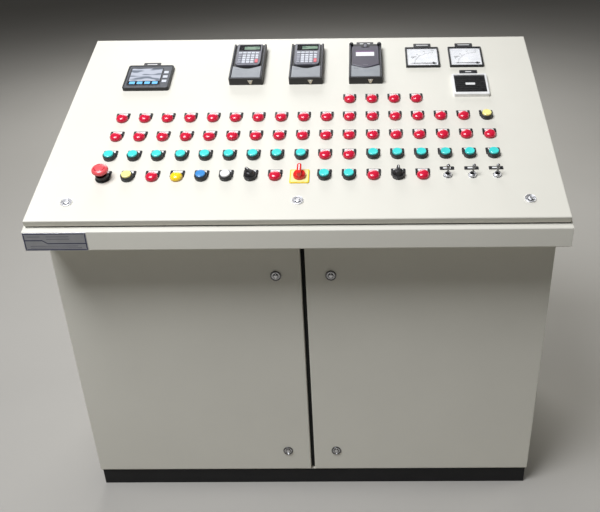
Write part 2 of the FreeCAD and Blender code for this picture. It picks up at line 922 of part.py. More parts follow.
def make_buttons():
    counts = dict.fromkeys(BUTTON_NAMES, 0)
    for row, letters in enumerate(PANEL_ROWS):
        for column, kind in enumerate(letters):
            if kind not in BUTTON_NAMES:
                continue
            counts[kind] += 1
            body = new_body("cap")
            pad(body, "z", "cap_low", "cap_top", ("0", "0", "cap_radius"))
            round_edges(body, "cap_round", lambda edge: edge_height(edge)[0] > value("cap_top") - 1)
            add_node(body, f"{BUTTON_NAMES[kind]}_{counts[kind]:02d}")
            on_lid(body, column_x(column), row_v(row))


def device_place(kind, number=0):
    """Expressions for the centre of one device of a kind, counted from the left."""
    found = [
        (column, row)
        for row, letters in enumerate(PANEL_ROWS)
        for column, letter in enumerate(letters)
        if letter == kind
    ]
    column, row = found[number]
    return column_x(column), row_v(row)


def make_stop():
    stem = new_body("stop_stem")
    pad(stem, "z", "stop_stem_low", "stop_stem_top", ("0", "0", "stop_stem"))
    on_lid(add_node(stem, "stop_stem"), *device_place("E"))
    head = new_body("stop_head")
    profile = [
        ("stop_bore", "stop_low"), ("stop_neck", "stop_low"), ("stop_neck", "stop_neck_top"),
        ("stop_radius", "stop_rim_low"), ("stop_radius", "stop_top"), ("0", "stop_top"),
        ("0", "stop_bore_top"), ("stop_bore", "stop_bore_top"),
    ]
    revolve(head, profile)
    round_edges(head, "stop_round", lambda edge: edge_height(edge)[0] > value("stop_top") - 1)
    on_lid(add_node(head, "stop_head"), *device_place("E"))


def make_selectors():
    for number, turn in enumerate((value("grip_turn"), 0)):
        rotor = post("cap_radius", "rotor_low", "rotor_top")
        grip = doc.addObject("Part::Box", "Grip")
        bind(grip, Length="grip_width", Width="grip_length", Height="grip_top - rotor_top")
        turned = FreeCAD.Rotation(FreeCAD.Vector(0, 0, 1), turn)
        corner = FreeCAD.Vector(-value("grip_width") / 2, -value("grip_length") / 2, 0)
        corner = turned.multVec(corner)
        grip.Placement = FreeCAD.Placement(corner, turned)
        bind(grip, Placement__Base__z="rotor_top")
        handle = add_node(fuse(rotor, grip), f"selector_handle_{number + 1}")
        on_lid(handle, *device_place("S", number))


def make_cam_knob():
    knob = post("knob_radius", "knob_low", "knob_top")
    half = "knob_grip_width / 2"
    grip = block(
        (f"0 - {half}", half), ("0 - knob_grip_front", "knob_grip_back"),
        ("knob_grip_low", "knob_grip_top"),
    )
    on_lid(add_node(fuse(knob, grip), "cam_switch_knob"), *device_place("C"))


def make_toggles():
    side_leans = (0, 1, 0)
    for number, side in enumerate(side_leans):
        ball = doc.addObject("Part::Sphere", "Ball")
        bind(ball, Radius="toggle_ball")
        place(ball, 0, 0, "toggle_pivot")
        lever = doc.addObject("Part::Cone", "Lever")
        bind(lever, Radius1="lever_thin", Radius2="lever_thick", Height="lever_length")
        back = FreeCAD.Rotation(FreeCAD.Vector(1, 0, 0), -value("lever_lean"))
        right = FreeCAD.Rotation(FreeCAD.Vector(0, 1, 0), side * value("lever_lean_side"))
        lever.Placement = FreeCAD.Placement(FreeCAD.Vector(), back.multiply(right))
        bind(lever, Placement__Base__z="toggle_pivot")
        tip = doc.addObject("Part::Sphere", "Tip")
        bind(tip, Radius="lever_thick")
        reach = back.multiply(right).multVec(FreeCAD.Vector(0, 0, value("lever_length")))
        tip.Placement = FreeCAD.Placement(
            reach + FreeCAD.Vector(0, 0, value("toggle_pivot")), FreeCAD.Rotation()
        )
        handle = add_node(fuse(ball, lever, tip), f"toggle_lever_{number + 1}")
        on_lid(handle, *device_place("G", number))


# Touch panel, keypads, meters and hooter


def make_hmi():
    body = new_body("hmi_panel")
    width, length = "hmi_width / 2", "hmi_length / 2"
    outline = rectangle(f"0 - {width}", width, f"0 - {length}", length)
    pad(body, "z", "0", "hmi_height", outline)
    round_edges(
        body, "hmi_round", lambda edge: edge_height(edge)[1] - edge_height(edge)[0] > 1
    )
    screen = rectangle(
        "0 - screen_width / 2", "screen_width / 2", "0 - screen_length / 2", "screen_length / 2"
    )
    pocket(body, "z", "hmi_height - screen_depth", "hmi_height", screen)
    return on_lid(add_node(body, "hmi_panel"), "hmi_x", "hmi_y")


def make_keypads():
    body = new_body("keypad")
    width, length = "keypad_width / 2", "keypad_length / 2"
    outline = rectangle(f"0 - {width}", width, f"0 - {length}", length)
    pad(body, "z", "0", "keypad_height", outline)
    round_edges(
        body, "keypad_round", lambda edge: edge_height(edge)[0] > value("keypad_height") - 1
    )
    doc.recompute()
    spots = [
        (value("keypad_x") + step * value("keypad_pitch"), value("keypad_y"))
        for step in (-1, 0, 1)
    ]
    return on_lid(add_node(copies(body, spots), "keypad_bezels"))


def make_meters():
    frames = []
    for x in ("meter_left", "meter_right"):
        outer, window = "meter_size / 2", "meter_window / 2"
        frame = block(
            (f"{x} - {outer}", f"{x} + {outer}"),
            (f"meter_y - {outer}", f"meter_y + {outer}"),
            ("0", "meter_height"),
        )
        opening = block(
            (f"{x} - {window}", f"{x} + {window}"),
            (f"meter_y - {window}", f"meter_y + {window}"),
            ("meter_dial", "meter_height"),
        )
        frames.append(cut(frame, opening))
    on_lid(add_node(group(*frames), "meter_cases"))
    for side in ("left", "right"):
        low, high = "needle_low", "needle_low + needle_thickness"
        hub = post("needle_hub", low, high)
        half = "needle_width / 2"
        pointer = block(("0 - needle_length", "0"), (f"0 - {half}", half), (low, high))
        needle = add_node(fuse(hub, pointer), f"meter_needle_{side}")
        on_lid(needle, f"meter_{side} + needle_x", "meter_y + needle_y")


def make_hooter():
    half = "meter_size / 2"
    wide, long = "hooter_window_width / 2", "hooter_window_length / 2"
    case = block((f"0 - {half}", half), (f"0 - {half}", half), ("0", "hooter_height"))
    window = block(
        (f"0 - {wide}", wide), (f"0 - {long}", long),
        ("hooter_height - hooter_depth", "hooter_height"),
    )
    return on_lid(add_node(cut(case, window), "hooter"), "hooter_x", "hooter_y")


def build():
    make_plinth()
    make_floor_pan()
    make_side("left_side", -1)
    make_side("right_side", 1)
    make_rear_panel()
    make_door_frame()
    make_console_tray()
    make_mounting_plate()
    make_drive_units()
    make_hinge_pins()
    make_door("left_door", -1)
    make_door("right_door", 1)
    make_locks()
    make_lid_panel()
    make_lid_seal()
    make_device_bodies()
    make_legend_plates()
    make_lamps()
    make_buttons()
    make_stop()
    make_selectors()
    make_cam_knob()
    make_toggles()
    make_hmi()
    make_keypads()
    make_meters()
    make_hooter()
    doc.recompute()


def check():
    for item in doc.Objects:
        if {"Invalid", "Error"} & set(item.State):
            raise RuntimeError(f"{item.Name} ({item.Label}) failed: {item.State}")
    for item in nodes:
        if item.Shape.isNull() or not item.Shape.isValid():
            raise RuntimeError(f"{item.Label} has no valid shape")


def export():
    os.makedirs("parts", exist_ok=True)
    for item in nodes:
        item.Shape.exportStep(f"parts/{item.Label}.step")


build()
check()
export()
print(len(nodes), "sub-parts written")
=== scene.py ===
import json
import math
import random

import bmesh
import bpy
from mathutils import Matrix, Vector


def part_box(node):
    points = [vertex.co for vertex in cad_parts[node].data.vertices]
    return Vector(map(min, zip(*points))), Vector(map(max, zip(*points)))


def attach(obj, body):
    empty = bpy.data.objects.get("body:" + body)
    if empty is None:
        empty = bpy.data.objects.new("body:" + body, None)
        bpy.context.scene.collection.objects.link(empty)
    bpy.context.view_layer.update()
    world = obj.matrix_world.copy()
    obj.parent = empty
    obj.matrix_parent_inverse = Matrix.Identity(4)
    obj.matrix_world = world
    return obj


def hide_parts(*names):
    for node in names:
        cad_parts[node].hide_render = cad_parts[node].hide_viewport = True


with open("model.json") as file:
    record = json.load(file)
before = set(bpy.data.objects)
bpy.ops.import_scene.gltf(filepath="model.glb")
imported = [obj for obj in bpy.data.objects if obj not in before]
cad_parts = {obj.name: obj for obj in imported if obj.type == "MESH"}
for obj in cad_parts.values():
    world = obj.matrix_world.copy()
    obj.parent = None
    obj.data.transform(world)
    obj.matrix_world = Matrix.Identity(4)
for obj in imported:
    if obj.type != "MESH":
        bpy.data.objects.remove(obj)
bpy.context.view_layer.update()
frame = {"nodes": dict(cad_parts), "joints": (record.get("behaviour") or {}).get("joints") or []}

# Shapes are drawn in millimetres, each in the plane it stands on, and set into the frame by a
# matrix: LID for the sloping lid (x right, y up the slope, z out of it), FLOOR for the cabinet,
# and front(y) or back(y) for upright faces that look at the operator or at the wall (x right as
# one looks at them, y up, z out).

MM = 0.001
TURN = math.tau
scene = bpy.context.scene
rng = random.Random(7)

press_axis = next(j for j in frame["joints"] if j["name"] == "stop_press")["axis"]
SLOPE = math.atan2(press_axis[1], -press_axis[2])
LID_WIDTH, LID_LENGTH, LID_LIP, SHEET = 1270, 760, 16.5, 2
lid_low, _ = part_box("lid_panel")
EDGE_Y = lid_low.y / MM
EDGE_Z = lid_low.z / MM + LID_LIP * math.cos(SLOPE)

FLOOR = Matrix.Scale(MM, 4)
LID = FLOOR @ Matrix.Translation((0, EDGE_Y, EDGE_Z)) @ Matrix.Rotation(SLOPE, 4, "X")

UPRIGHT = Matrix.Rotation(TURN / 4, 4, "X")

tray_low, tray_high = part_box("console_tray")
door_low, door_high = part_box("left_door")
_, rear_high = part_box("rear_panel")
TRAY_Y, TRAY_Z = tray_low.y / MM, tray_low.z / MM
LOCK_COLLAR = 3
DOOR_Y = door_low.y / MM + LOCK_COLLAR
DOOR_LOW, DOOR_HIGH = door_low.z / MM, door_high.z / MM
DOOR_DEPTH = 20
BACK_Y = rear_high.y / MM
HALF_CABINET, HALF_SHELL = 635, 640
TRAY_FACE, TRAY_RIM = 49, 40
DOOR_SPLIT = 5.5
DOOR_LOCK_X, DOOR_LOCK_LEVELS = 70.5, (("low", 72), ("high", 660))
LID_LOCKS, LID_LOCK_Y = (("left", -547.5), ("middle", 0), ("right", 547.5)), 62
SIDES = (-1, 1)

# Centres on the lid of the larger units
HMI_AT, HOOTER_AT = (-443, 559), (451, 511)
KEYPAD_X, KEYPAD_Y = (-168, -2, 164), 613
METER_X, METER_Y = (("left", 327), ("right", 451)), 650
METER_PIVOT = (31, -30)


def front(y):
    """An upright plane at that y, its z towards the operator."""
    return FLOOR @ Matrix.Translation((0, y, 0)) @ UPRIGHT


def back(y):
    """An upright plane at that y, its z towards the rear and its x to the left."""
    return FLOOR @ Matrix.Translation((0, y, 0)) @ Matrix.Rotation(TURN / 2, 4, "Z") @ UPRIGHT


def moved(x=0, y=0, z=0, turn=0):
    return Matrix.Translation((x, y, z)) @ Matrix.Rotation(math.radians(turn), 4, "Z")


# The 22 mm devices, front row first, from the operator's left to right: R red and Y yellow
# lamp, T teal, P pale, B blue and W white button, E emergency stop, S selector, C cam switch,
# G toggle.
PANEL_ROWS = [
    "EPRYBWSRCTTRSRGGG",
    "TTTTTTTTTRRTTTTTT",
    "RRRRRRRRRRRRRRRRR",
    "RRRRRRRRRRRRRRRRP",
    "..........RRRR...",
]
COLUMN_PITCH, ROW_PITCH, FIRST_ROW, MIDDLE_COLUMN = 60, 76.8, 146, 8


def devices(kinds):
    """Centres on the lid of every device of these kinds, front row first."""
    return [
        ((column - MIDDLE_COLUMN) * COLUMN_PITCH, FIRST_ROW + row * ROW_PITCH)
        for row, letters in enumerate(PANEL_ROWS)
        for column, letter in enumerate(letters)
        if letter in kinds
    ]


# Outlines


def rounded_box(width, length, radius, steps=4):
    """Points round a rectangle about the origin, counterclockwise."""
    radius = max(min(radius, width / 2, length / 2), 0.05)
    points = []
    corners = [(1, 1, 0), (-1, 1, 1), (-1, -1, 2), (1, -1, 3)]
    for side_x, side_y, quarter in corners:
        centre_x = side_x * (width / 2 - radius)
        centre_y = side_y * (length / 2 - radius)
        for step in range(steps + 1):
            angle = TURN / 4 * (quarter + step / steps)
            points.append(
                (centre_x + radius * math.cos(angle), centre_y + radius * math.sin(angle))
            )
    return points


def rounded(corners, radius, steps=5):
    """A polygon with each corner turned through an arc; radius is one value or one a corner."""
    count = len(corners)
    radii = [radius] * count if isinstance(radius, (int, float)) else radius
    points = []
    for i, corner in enumerate(corners):
        here = Vector(corner)
        if radii[i] <= 0:
            points.append(tuple(here))
            continue
        before = (Vector(corners[i - 1]) - here).normalized()
        after = (Vector(corners[(i + 1) % count]) - here).normalized()
        half = before.angle(after) / 2
        middle = here + (before + after).normalized() * radii[i] / math.sin(half)
        start = here + before * radii[i] / math.tan(half) - middle
        end = here + after * radii[i] / math.tan(half) - middle
        sweep = start.angle_signed(end)
        for step in range(steps + 1):
            turned = start.copy()
            turned.rotate(Matrix.Rotation(-sweep * step / steps, 2))
            points.append(tuple(middle + turned))
    return points


def arc(radius, first, last, count):
    """Points from one angle to another, in degrees, both included."""
    angles = [math.radians(first + (last - first) * i / count) for i in range(count + 1)]
    return [(radius * math.cos(a), radius * math.sin(a)) for a in angles]


def circle(radius, count):
    angles = [TURN * i / count for i in range(count)]
    return [(radius * math.cos(a), radius * math.sin(a)) for a in angles]


def raised(outline, z):
    return [(x, y, z) for x, y in outline]


def rotation(angle, axis):
    return Matrix.Rotation(angle, 4, axis)


# Meshes


class Shape:
    """Collects faces, each with the number of its material."""

    def __init__(self):
        self.points, self.faces, self.slots = [], [], []

    def add(self, points, faces, slot=0, at=None):
        start = len(self.points)
        if at is not None:
            points = [at @ Vector(p) for p in points]
        self.points += [tuple(p) for p in points]
        self.faces += [tuple(start + i for i in face) for face in faces]
        self.slots += [slot] * len(faces)

    def rings(self, rings, slot=0, at=None, ends=(True, True), end_slot=None):
        """Quads between outlines of equal length, with a cap at either end."""
        count = len(rings[0])
        points = [p for ring in rings for p in ring]
        faces = []
        for level in range(len(rings) - 1):
            low = level * count
            for i in range(count):
                j = (i + 1) % count
                faces.append((low + i, low + j, low + count + j, low + count + i))
        self.add(points, faces, slot, at)
        caps = []
        if ends[0]:
            caps.append(list(reversed(rings[0])))
        if ends[1]:
            caps.append(list(rings[-1]))
        for cap in caps:
            self.add(cap, [tuple(range(count))], slot if end_slot is None else end_slot, at)

    def lathe(self, profile, slot=0, at=None, count=40):
        """A profile of (radius, height) turned about z. It closes where the radius is zero."""
        ends = [profile[0][0] < 1e-6, profile[-1][0] < 1e-6]
        middle = profile[1 if ends[0] else 0 : len(profile) - (1 if ends[1] else 0)]
        rings = [raised(circle(r, count), z) for r, z in middle]
        if not any(ends):
            rings.append(rings[0])
        self.rings(rings, slot, at, (False, False))
        if ends[0]:
            fan = [(count, (i + 1) % count, i) for i in range(count)]
            self.add(rings[0] + [(0, 0, profile[0][1])], fan, slot, at)
        if ends[1]:
            fan = [(count, i, (i + 1) % count) for i in range(count)]
            self.add(rings[-1] + [(0, 0, profile[-1][1])], fan, slot, at)

    def slab(self, width, length, corner, low, high, edge=0.5, slot=0, at=None, top_slot=None,
             steps=3):
        """A rounded-corner block with a rounded upper edge."""
        rings = []
        for inset, z in [(0, low), (0, high - edge)] + [
            (edge * (1 - math.cos(a)), high - edge * (1 - math.sin(a)))
            for a in (TURN / 4 * (i + 1) / steps for i in range(steps))
        ]:
            outline = rounded_box(width - 2 * inset, length - 2 * inset, corner - inset)
            rings.append(raised(outline, z))
        self.rings(rings, slot, at, end_slot=top_slot)

    def tile(self, width, length, corner, low, high, edge, slot, at):
        """A small slab with a plain chamfer."""
        self.slab(width, length, corner, low, high, edge, slot, at, steps=1)

    def prism(self, outline, low, high, slot=0, at=None):
        self.rings([raised(outline, low), raised(outline, high)], slot, at)

    def window(self, outer, inner, low, high, edge=0.6, floor=None, slot=0, floor_slot=None,
               at=None):
        """A frame: outer and inner are (width, length, corner, x, y); floor closes it below."""

        def ring(size, inset, z):
            width, length, corner, x, y = size
            outline = rounded_box(width - 2 * inset, length - 2 * inset, corner - inset)
            return [(px + x, py + y, z) for px, py in outline]

        rings = [
            ring(outer, 0, low), ring(outer, 0, high - edge),
            ring(outer, edge * 0.3, high - edge * 0.3), ring(outer, edge, high),
            ring(inner, -edge, high), ring(inner, -edge * 0.3, high - edge * 0.3),
            ring(inner, 0, high - edge), ring(inner, 0, low if floor is None else floor),
        ]
        if floor is None:
            rings.append(rings[0])
            self.rings(rings, slot, at, (False, False))
        else:
            self.rings(rings, slot, at, (True, False))
            self.rings([rings[-1]], slot, at, (False, True), floor_slot)

    def pan(self, width, length, low, high, bend=3, sheet=2, slot=0, at=None):
        """A folded sheet tray, open below, with bent edges."""
        inner = max(bend - sheet, 0.5)

        def ring(inset, z):
            outline = rounded_box(width - 2 * inset, length - 2 * inset, 1.5 - inset)
            return raised(outline, z)

        rings = [
            ring(sheet + inner, high - sheet),
            ring(sheet + inner * 0.3, high - sheet - inner * 0.3),
            ring(sheet, high - sheet - inner), ring(sheet, low), ring(0, low),
        ]
        steps = 5
        for i in range(steps + 1):
            a = TURN / 4 * i / steps
            rings.append(ring(bend * (1 - math.cos(a)), high - bend * (1 - math.sin(a))))
        self.rings(rings, slot, at)

    def tube(self, path, radius, slot, count):
        """A round wire through the points."""
        path = [Vector(p) for p in path]
        side = Vector((0, 0, 1))
        rings = []
        for i, point in enumerate(path):
            ahead = (path[min(i + 1, len(path) - 1)] - path[max(i - 1, 0)]).normalized()
            across = ahead.cross(side)
            if across.length < 0.01:
                across = ahead.cross(Vector((1, 0, 0)))
            across.normalize()
            up = across.cross(ahead)
            rings.append(
                [tuple(point + across * x + up * y) for x, y in circle(radius, count)]
            )
        self.rings(rings, slot)

    def make(self, name, into, materials, body, stands_for=(), bevel=0.0):
        """The finished piece: placed in the frame, shaded, and riding on its body."""
        mesh = bpy.data.meshes.new(name)
        mesh.from_pydata([tuple(into @ Vector(p)) for p in self.points], [], self.faces)
        for material in materials:
            mesh.materials.append(material)
        mesh.polygons.foreach_set("material_index", self.slots)
        obj = bpy.data.objects.new(name, mesh)
        scene.collection.objects.link(obj)
        work = bmesh.new()
        work.from_mesh(mesh)
        bmesh.ops.remove_doubles(work, verts=work.verts, dist=1e-6)
        bmesh.ops.recalc_face_normals(work, faces=work.faces)
        work.to_mesh(mesh)
        work.free()
        finish_surface(obj, bevel)
        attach(obj, body)
        if stands_for:
            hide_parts(*stands_for)


def round_edges(obj, width):
    """A two-step bevel on every edge that turns by more than 40 degrees."""
    rounding = obj.modifiers.new("edges", "BEVEL")
    rounding.width = width * MM
    rounding.segments = 2
    rounding.limit_method = "ANGLE"
    rounding.angle_limit = math.radians(40)


def finish_surface(obj, bevel):
    """Small rounded edges, and shading that keeps broad faces flat."""
    mesh = obj.data
    mesh.polygons.foreach_set("use_smooth", [True] * len(mesh.polygons))
    if bevel > 0:
        round_edges(obj, bevel)
    else:
        mesh.set_sharp_from_angle(angle=math.radians(35))
    weighted = obj.modifiers.new("shading", "WEIGHTED_NORMAL")
    weighted.keep_sharp = True


def dress_node(node, material, bevel=0.0):
    """A CAD node that stays: its material, and softened edges."""
    obj = frame["nodes"][node]
    obj.data.materials.clear()
    obj.data.materials.append(material)
    if bevel > 0:
        weld = obj.modifiers.new("weld", "WELD")
        weld.merge_threshold = 1e-5
        flat = obj.modifiers.new("flat", "DECIMATE")
        flat.decimate_type = "DISSOLVE"
        flat.angle_limit = math.radians(1)
        round_edges(obj, bevel)


# Materials


class Paint:
    """Builds a node material around one Principled shader."""

    def __init__(self, name):
        self.material = bpy.data.materials.new(name)
        self.material.use_nodes = True
        self.nodes = self.material.node_tree.nodes
        self.links = self.material.node_tree.links
        self.shader = self.nodes["Principled BSDF"]
        self.place = self.nodes.new("ShaderNodeTexCoord").outputs["Object"]

    def set(self, **values):
        for name, value in values.items():
            self.shader.inputs[name.replace("_", " ")].default_value = value

    def noise(self, scale, detail=2, rough=0.5, stretch=None):
        node = self.nodes.new("ShaderNodeTexNoise")
        node.inputs["Scale"].default_value = scale
        node.inputs["Detail"].default_value = detail
        node.inputs["Roughness"].default_value = rough
        if stretch:
            mapping = self.nodes.new("ShaderNodeMapping")
            mapping.inputs["Scale"].default_value = stretch
            self.links.new(self.place, mapping.inputs["Vector"])
            self.links.new(mapping.outputs["Vector"], node.inputs["Vector"])
        else:
            self.links.new(self.place, node.inputs["Vector"])
        return node.outputs["Fac"]

    def ramp(self, source, stops):
        """A colour ramp over (position, colour) stops."""
        node = self.nodes.new("ShaderNodeValToRGB")
        band = node.color_ramp
        while len(band.elements) < len(stops):
            band.elements.new(0.5)
        for element, (position, colour) in zip(band.elements, stops):
            element.position = position
            element.color = (*colour, 1)
        self.links.new(source, node.inputs["Fac"])
        return node.outputs["Color"]

    def span(self, source, low, high):
        node = self.nodes.new("ShaderNodeMapRange")
        node.inputs["To Min"].default_value = low
        node.inputs["To Max"].default_value = high
        self.links.new(source, node.inputs["Value"])
        return node.outputs["Result"]

    def drive(self, name, source):
        self.links.new(source, self.shader.inputs[name])

    def shades(self, source, colour, low, high):
        """Base colour that drifts between a darker and a lighter shade."""
        stops = [(0.3, tint(colour, low)), (0.7, tint(colour, high))]
        self.drive("Base Color", self.ramp(source, stops))

    def roughness(self, source, low, high):
        self.drive("Roughness", self.span(source, low, high))

    def bump(self, source, strength, depth):
        node = self.nodes.new("ShaderNodeBump")
        node.inputs["Strength"].default_value = strength
        node.inputs["Distance"].default_value = depth
        self.links.new(source, node.inputs["Height"])
        last = self.shader.inputs["Normal"]
        if last.is_linked:
            self.links.new(last.links[0].from_socket, node.inputs["Normal"])
        self.links.new(node.outputs["Normal"], last)


def tint(colour, factor):
    return tuple(min(c * factor, 1) for c in colour)


def powder_coat(name, colour, rough=0.42, vary=0.035):
    """Baked powder paint: fine orange peel, faint cloudiness and handling marks."""
    paint = Paint(name)
    paint.shades(paint.noise(2.3, 4, 0.6), colour, 1 - vary, 1 + vary / 2)
    paint.roughness(paint.noise(14, 5, 0.65), rough - 0.07, rough + 0.08)
    paint.bump(paint.noise(620, 2, 0.5), 0.10, 0.00012)
    paint.bump(paint.noise(95, 2, 0.5), 0.05, 0.0002)
    paint.set(Specular_IOR_Level=0.45)
    return paint.material


def moulded(name, colour, rough=0.4, depth=0.00006):
    """Moulded plastic with a fine spark-eroded grain."""
    paint = Paint(name)
    paint.shades(paint.noise(30, 3, 0.6), colour, 0.92, 1.08)
    paint.roughness(paint.noise(55, 4, 0.6), rough - 0.08, rough + 0.08)
    if depth > 0:
        paint.bump(paint.noise(900, 2, 0.5), 0.25, depth)
    paint.set(Coat_Roughness=0.08)
    return paint.material


def glossy(name, colour, rough=0.16, glow=0.0, soft=0.0):
    """Gloss plastic of a cap or lens; glow makes a lamp lens shine and on a plain button cap is
    painted light, soft scatters inside.
    """
    paint = Paint(name)
    paint.shades(paint.noise(60, 2, 0.5), colour, 0.95, 1.05)
    paint.roughness(paint.noise(120, 3, 0.6), max(rough - 0.05, 0.04), rough + 0.07)
    paint.bump(paint.noise(240, 2, 0.4), 0.04, 0.0001)
    paint.set(Coat_Weight=0.6, Coat_Roughness=0.06)
    if glow > 0:
        paint.set(Emission_Color=(*colour, 1), Emission_Strength=glow)
    if soft > 0:
        paint.set(Subsurface_Weight=soft, Subsurface_Scale=0.004)
        paint.shader.inputs["Subsurface Radius"].default_value = (1.0, 0.5, 0.4)
    return paint.material


def metal(name, colour, rough=0.18, brushed=None, grain=0.0):
    """Bare or plated metal; brushed stretches the scratches along one axis."""
    paint = Paint(name)
    paint.shades(paint.noise(25, 4, 0.6), colour, 0.9, 1.05)
    lines = paint.noise(300, 3, 0.6, brushed) if brushed else paint.noise(130, 5, 0.7)
    paint.roughness(lines, max(rough - 0.08, 0.03), rough + 0.12)
    if grain > 0:
        paint.bump(lines, grain, 0.0001)
    paint.set(Metallic=1.0)
    return paint.material


def zinc(name):
    """Passivated zinc plate with its spangled patches."""
    paint = Paint(name)
    patches = paint.nodes.new("ShaderNodeTexVoronoi")
    patches.inputs["Scale"].default_value = 60
    paint.links.new(paint.place, patches.inputs["Vector"])
    stops = [(0.2, (0.50, 0.51, 0.52)), (0.8, (0.68, 0.68, 0.67))]
    paint.drive("Base Color", paint.ramp(patches.outputs["Color"], stops))
    paint.roughness(paint.noise(80, 4, 0.6), 0.28, 0.45)
    paint.set(Metallic=1.0)
    return paint.material


def foam(name, colour):
    paint = Paint(name)
    paint.shades(paint.noise(700, 3, 0.7), colour, 0.6, 1.4)
    paint.roughness(paint.noise(200, 2), 0.8, 0.95)
    paint.bump(paint.noise(900, 3, 0.7), 0.5, 0.0002)
    return paint.material


def glass(name):
    paint = Paint(name)
    paint.roughness(paint.noise(40, 4, 0.7), 0.02, 0.06)
    paint.set(Transmission_Weight=1.0, IOR=1.45, Alpha=0.12)
    stops = [(0.3, (0.97, 0.98, 0.98)), (0.7, (1, 1, 1))]
    paint.drive("Base Color", paint.ramp(paint.noise(8), stops))
    return paint.material


def display(name, dark, light, scale):
    """A lit screen: pale field with soft bands of content."""
    paint = Paint(name)
    wave = paint.noise(scale, 1, 0.3, (1, 3, 3))
    colour = paint.ramp(wave, [(0.40, dark), (0.47, light), (0.62, light), (0.75, dark)])
    paint.drive("Base Color", colour)
    paint.drive("Emission Color", colour)
    paint.roughness(paint.noise(90, 3), 0.08, 0.16)
    paint.set(Emission_Strength=0.35, Coat_Weight=0.5, Coat_Roughness=0.05)
    return paint.material


PAINT_COLOUR = (0.735, 0.715, 0.625)
paint = powder_coat("sheet_paint", PAINT_COLOUR)
plinth_paint = powder_coat("plinth_paint", (0.004, 0.004, 0.0045), rough=0.66, vary=0.2)
zinc_plate = zinc("zinc_plate")
black = moulded("black_plastic", (0.018, 0.018, 0.020), rough=0.38)
black_fine = moulded("black_fine", (0.009, 0.009, 0.010), rough=0.42, depth=0.00002)
dark_grey = moulded("dark_plastic", (0.085, 0.09, 0.10), rough=0.36)
purple_grey = moulded("purple_grey", (0.062, 0.055, 0.078), rough=0.38)
silver_grey = moulded("silver_grey", (0.14, 0.14, 0.165), rough=0.34, depth=0.00002)
cover_grey = moulded("cover_grey", (0.27, 0.285, 0.30), rough=0.34, depth=0.00003)
key_pale = moulded("key_pale", (0.60, 0.62, 0.66), rough=0.42, depth=0.00002)
key_grey = moulded("key_grey", (0.30, 0.31, 0.35), rough=0.42, depth=0.00002)
key_red = moulded("key_red", (0.70, 0.13, 0.16), rough=0.4, depth=0.00002)
key_blue = glossy("key_blue", (0.16, 0.50, 0.84), rough=0.25, glow=0.2)
white_plastic = moulded("white_plastic", (0.80, 0.80, 0.77), rough=0.3, depth=0.00003)
label_white = moulded("label_white", (0.78, 0.78, 0.76), rough=0.45, depth=0)
label_purple = moulded("label_purple", (0.12, 0.03, 0.14), rough=0.4, depth=0)
dial_white = moulded("dial_white", (0.93, 0.94, 0.94), rough=0.5, depth=0)
dial_ink = moulded("dial_ink", (0.03, 0.03, 0.035), rough=0.5, depth=0)
notch_beige = moulded("notch_beige", (0.55, 0.50, 0.38), rough=0.4, depth=0)
mesh_black = moulded("mesh_black", (0.010, 0.010, 0.011), rough=0.5)
red_bezel = glossy("red_bezel", (0.50, 0.006, 0.03), rough=0.24)
red_lens = glossy("red_lens", (0.66, 0.010, 0.045), rough=0.24, glow=0.04, soft=0.25)
yellow_bezel = glossy("yellow_bezel", (0.80, 0.48, 0.01), rough=0.24)
yellow_lens = glossy("yellow_lens", (0.95, 0.66, 0.02), rough=0.14, glow=0.06, soft=0.25)
# The teal, pale and blue button caps glow though they hold no lamp: painted light that brightens
# them.
teal_cap = glossy("teal_cap", (0.06, 0.66, 0.62), rough=0.25, glow=0.10)
pale_cap = glossy("pale_cap", (0.92, 0.84, 0.30), rough=0.2, glow=0.08, soft=0.2)
blue_cap = glossy("blue_cap", (0.06, 0.27, 0.62), rough=0.2, glow=0.04)
white_cap = glossy("white_cap", (0.86, 0.86, 0.85), rough=0.2)
stop_red = glossy("stop_red", (0.78, 0.085, 0.095), rough=0.46)
knob_red = glossy("knob_red", (0.78, 0.02, 0.015), rough=0.2)
plate_yellow = glossy("plate_yellow", (0.92, 0.66, 0.02), rough=0.35)
plate_pale = glossy("plate_pale", (0.93, 0.84, 0.36), rough=0.35)
# The door locks' dark smoked metal is a painted dark reflection and the lid locks' pale satin
# metal a painted bright reflection: both are the same chrome lock. The toggle levers and bushings
# use the same two metals.
chrome = metal("chrome", (0.72, 0.72, 0.73), rough=0.12)
satin_painted_bright = metal("satin_nickel_painted_bright", (0.90, 0.90, 0.91), rough=0.45)
smoked_painted_dark = metal("smoked_chrome_painted_dark", (0.17, 0.17, 0.175), rough=0.18)
# Dark metal for the bottoms of lock recesses and screw crosses: painted shade.
recess_painted_shade = metal("lock_recess_painted_shade", (0.10, 0.10, 0.10), rough=0.35)
needle_black = moulded("needle_black", (0.012, 0.012, 0.012), rough=0.35, depth=0)
nameplate_silver = metal(
    "nameplate_silver", (0.56, 0.57, 0.60), rough=0.38, brushed=(1, 60, 60), grain=0.05)
nameplate_ink = moulded("nameplate_ink", (0.015, 0.02, 0.07), rough=0.4, depth=0)
gasket = foam("gasket", (0.012, 0.012, 0.012))
clear_glass = glass("meter_glass")
hmi_screen = display("hmi_screen", (0.15, 0.17, 0.20), (0.40, 0.42, 0.47), 20)
lcd_green = display("lcd_green", (0.10, 0.16, 0.12), (0.20, 0.28, 0.21), 60)
window_black = glossy("window_black", (0.012, 0.012, 0.015), rough=0.08)
drive_grey = moulded("drive_case", (0.20, 0.21, 0.23), rough=0.42)
duct_grey = moulded("duct_grey", (0.38, 0.40, 0.42), rough=0.5)
wire_black = moulded("wire_black", (0.02, 0.02, 0.02), rough=0.45)
wire_blue = moulded("wire_blue", (0.02, 0.06, 0.30), rough=0.45)
contact_green = moulded("contact_green", (0.03, 0.25, 0.10), rough=0.4)


# Small repeated details


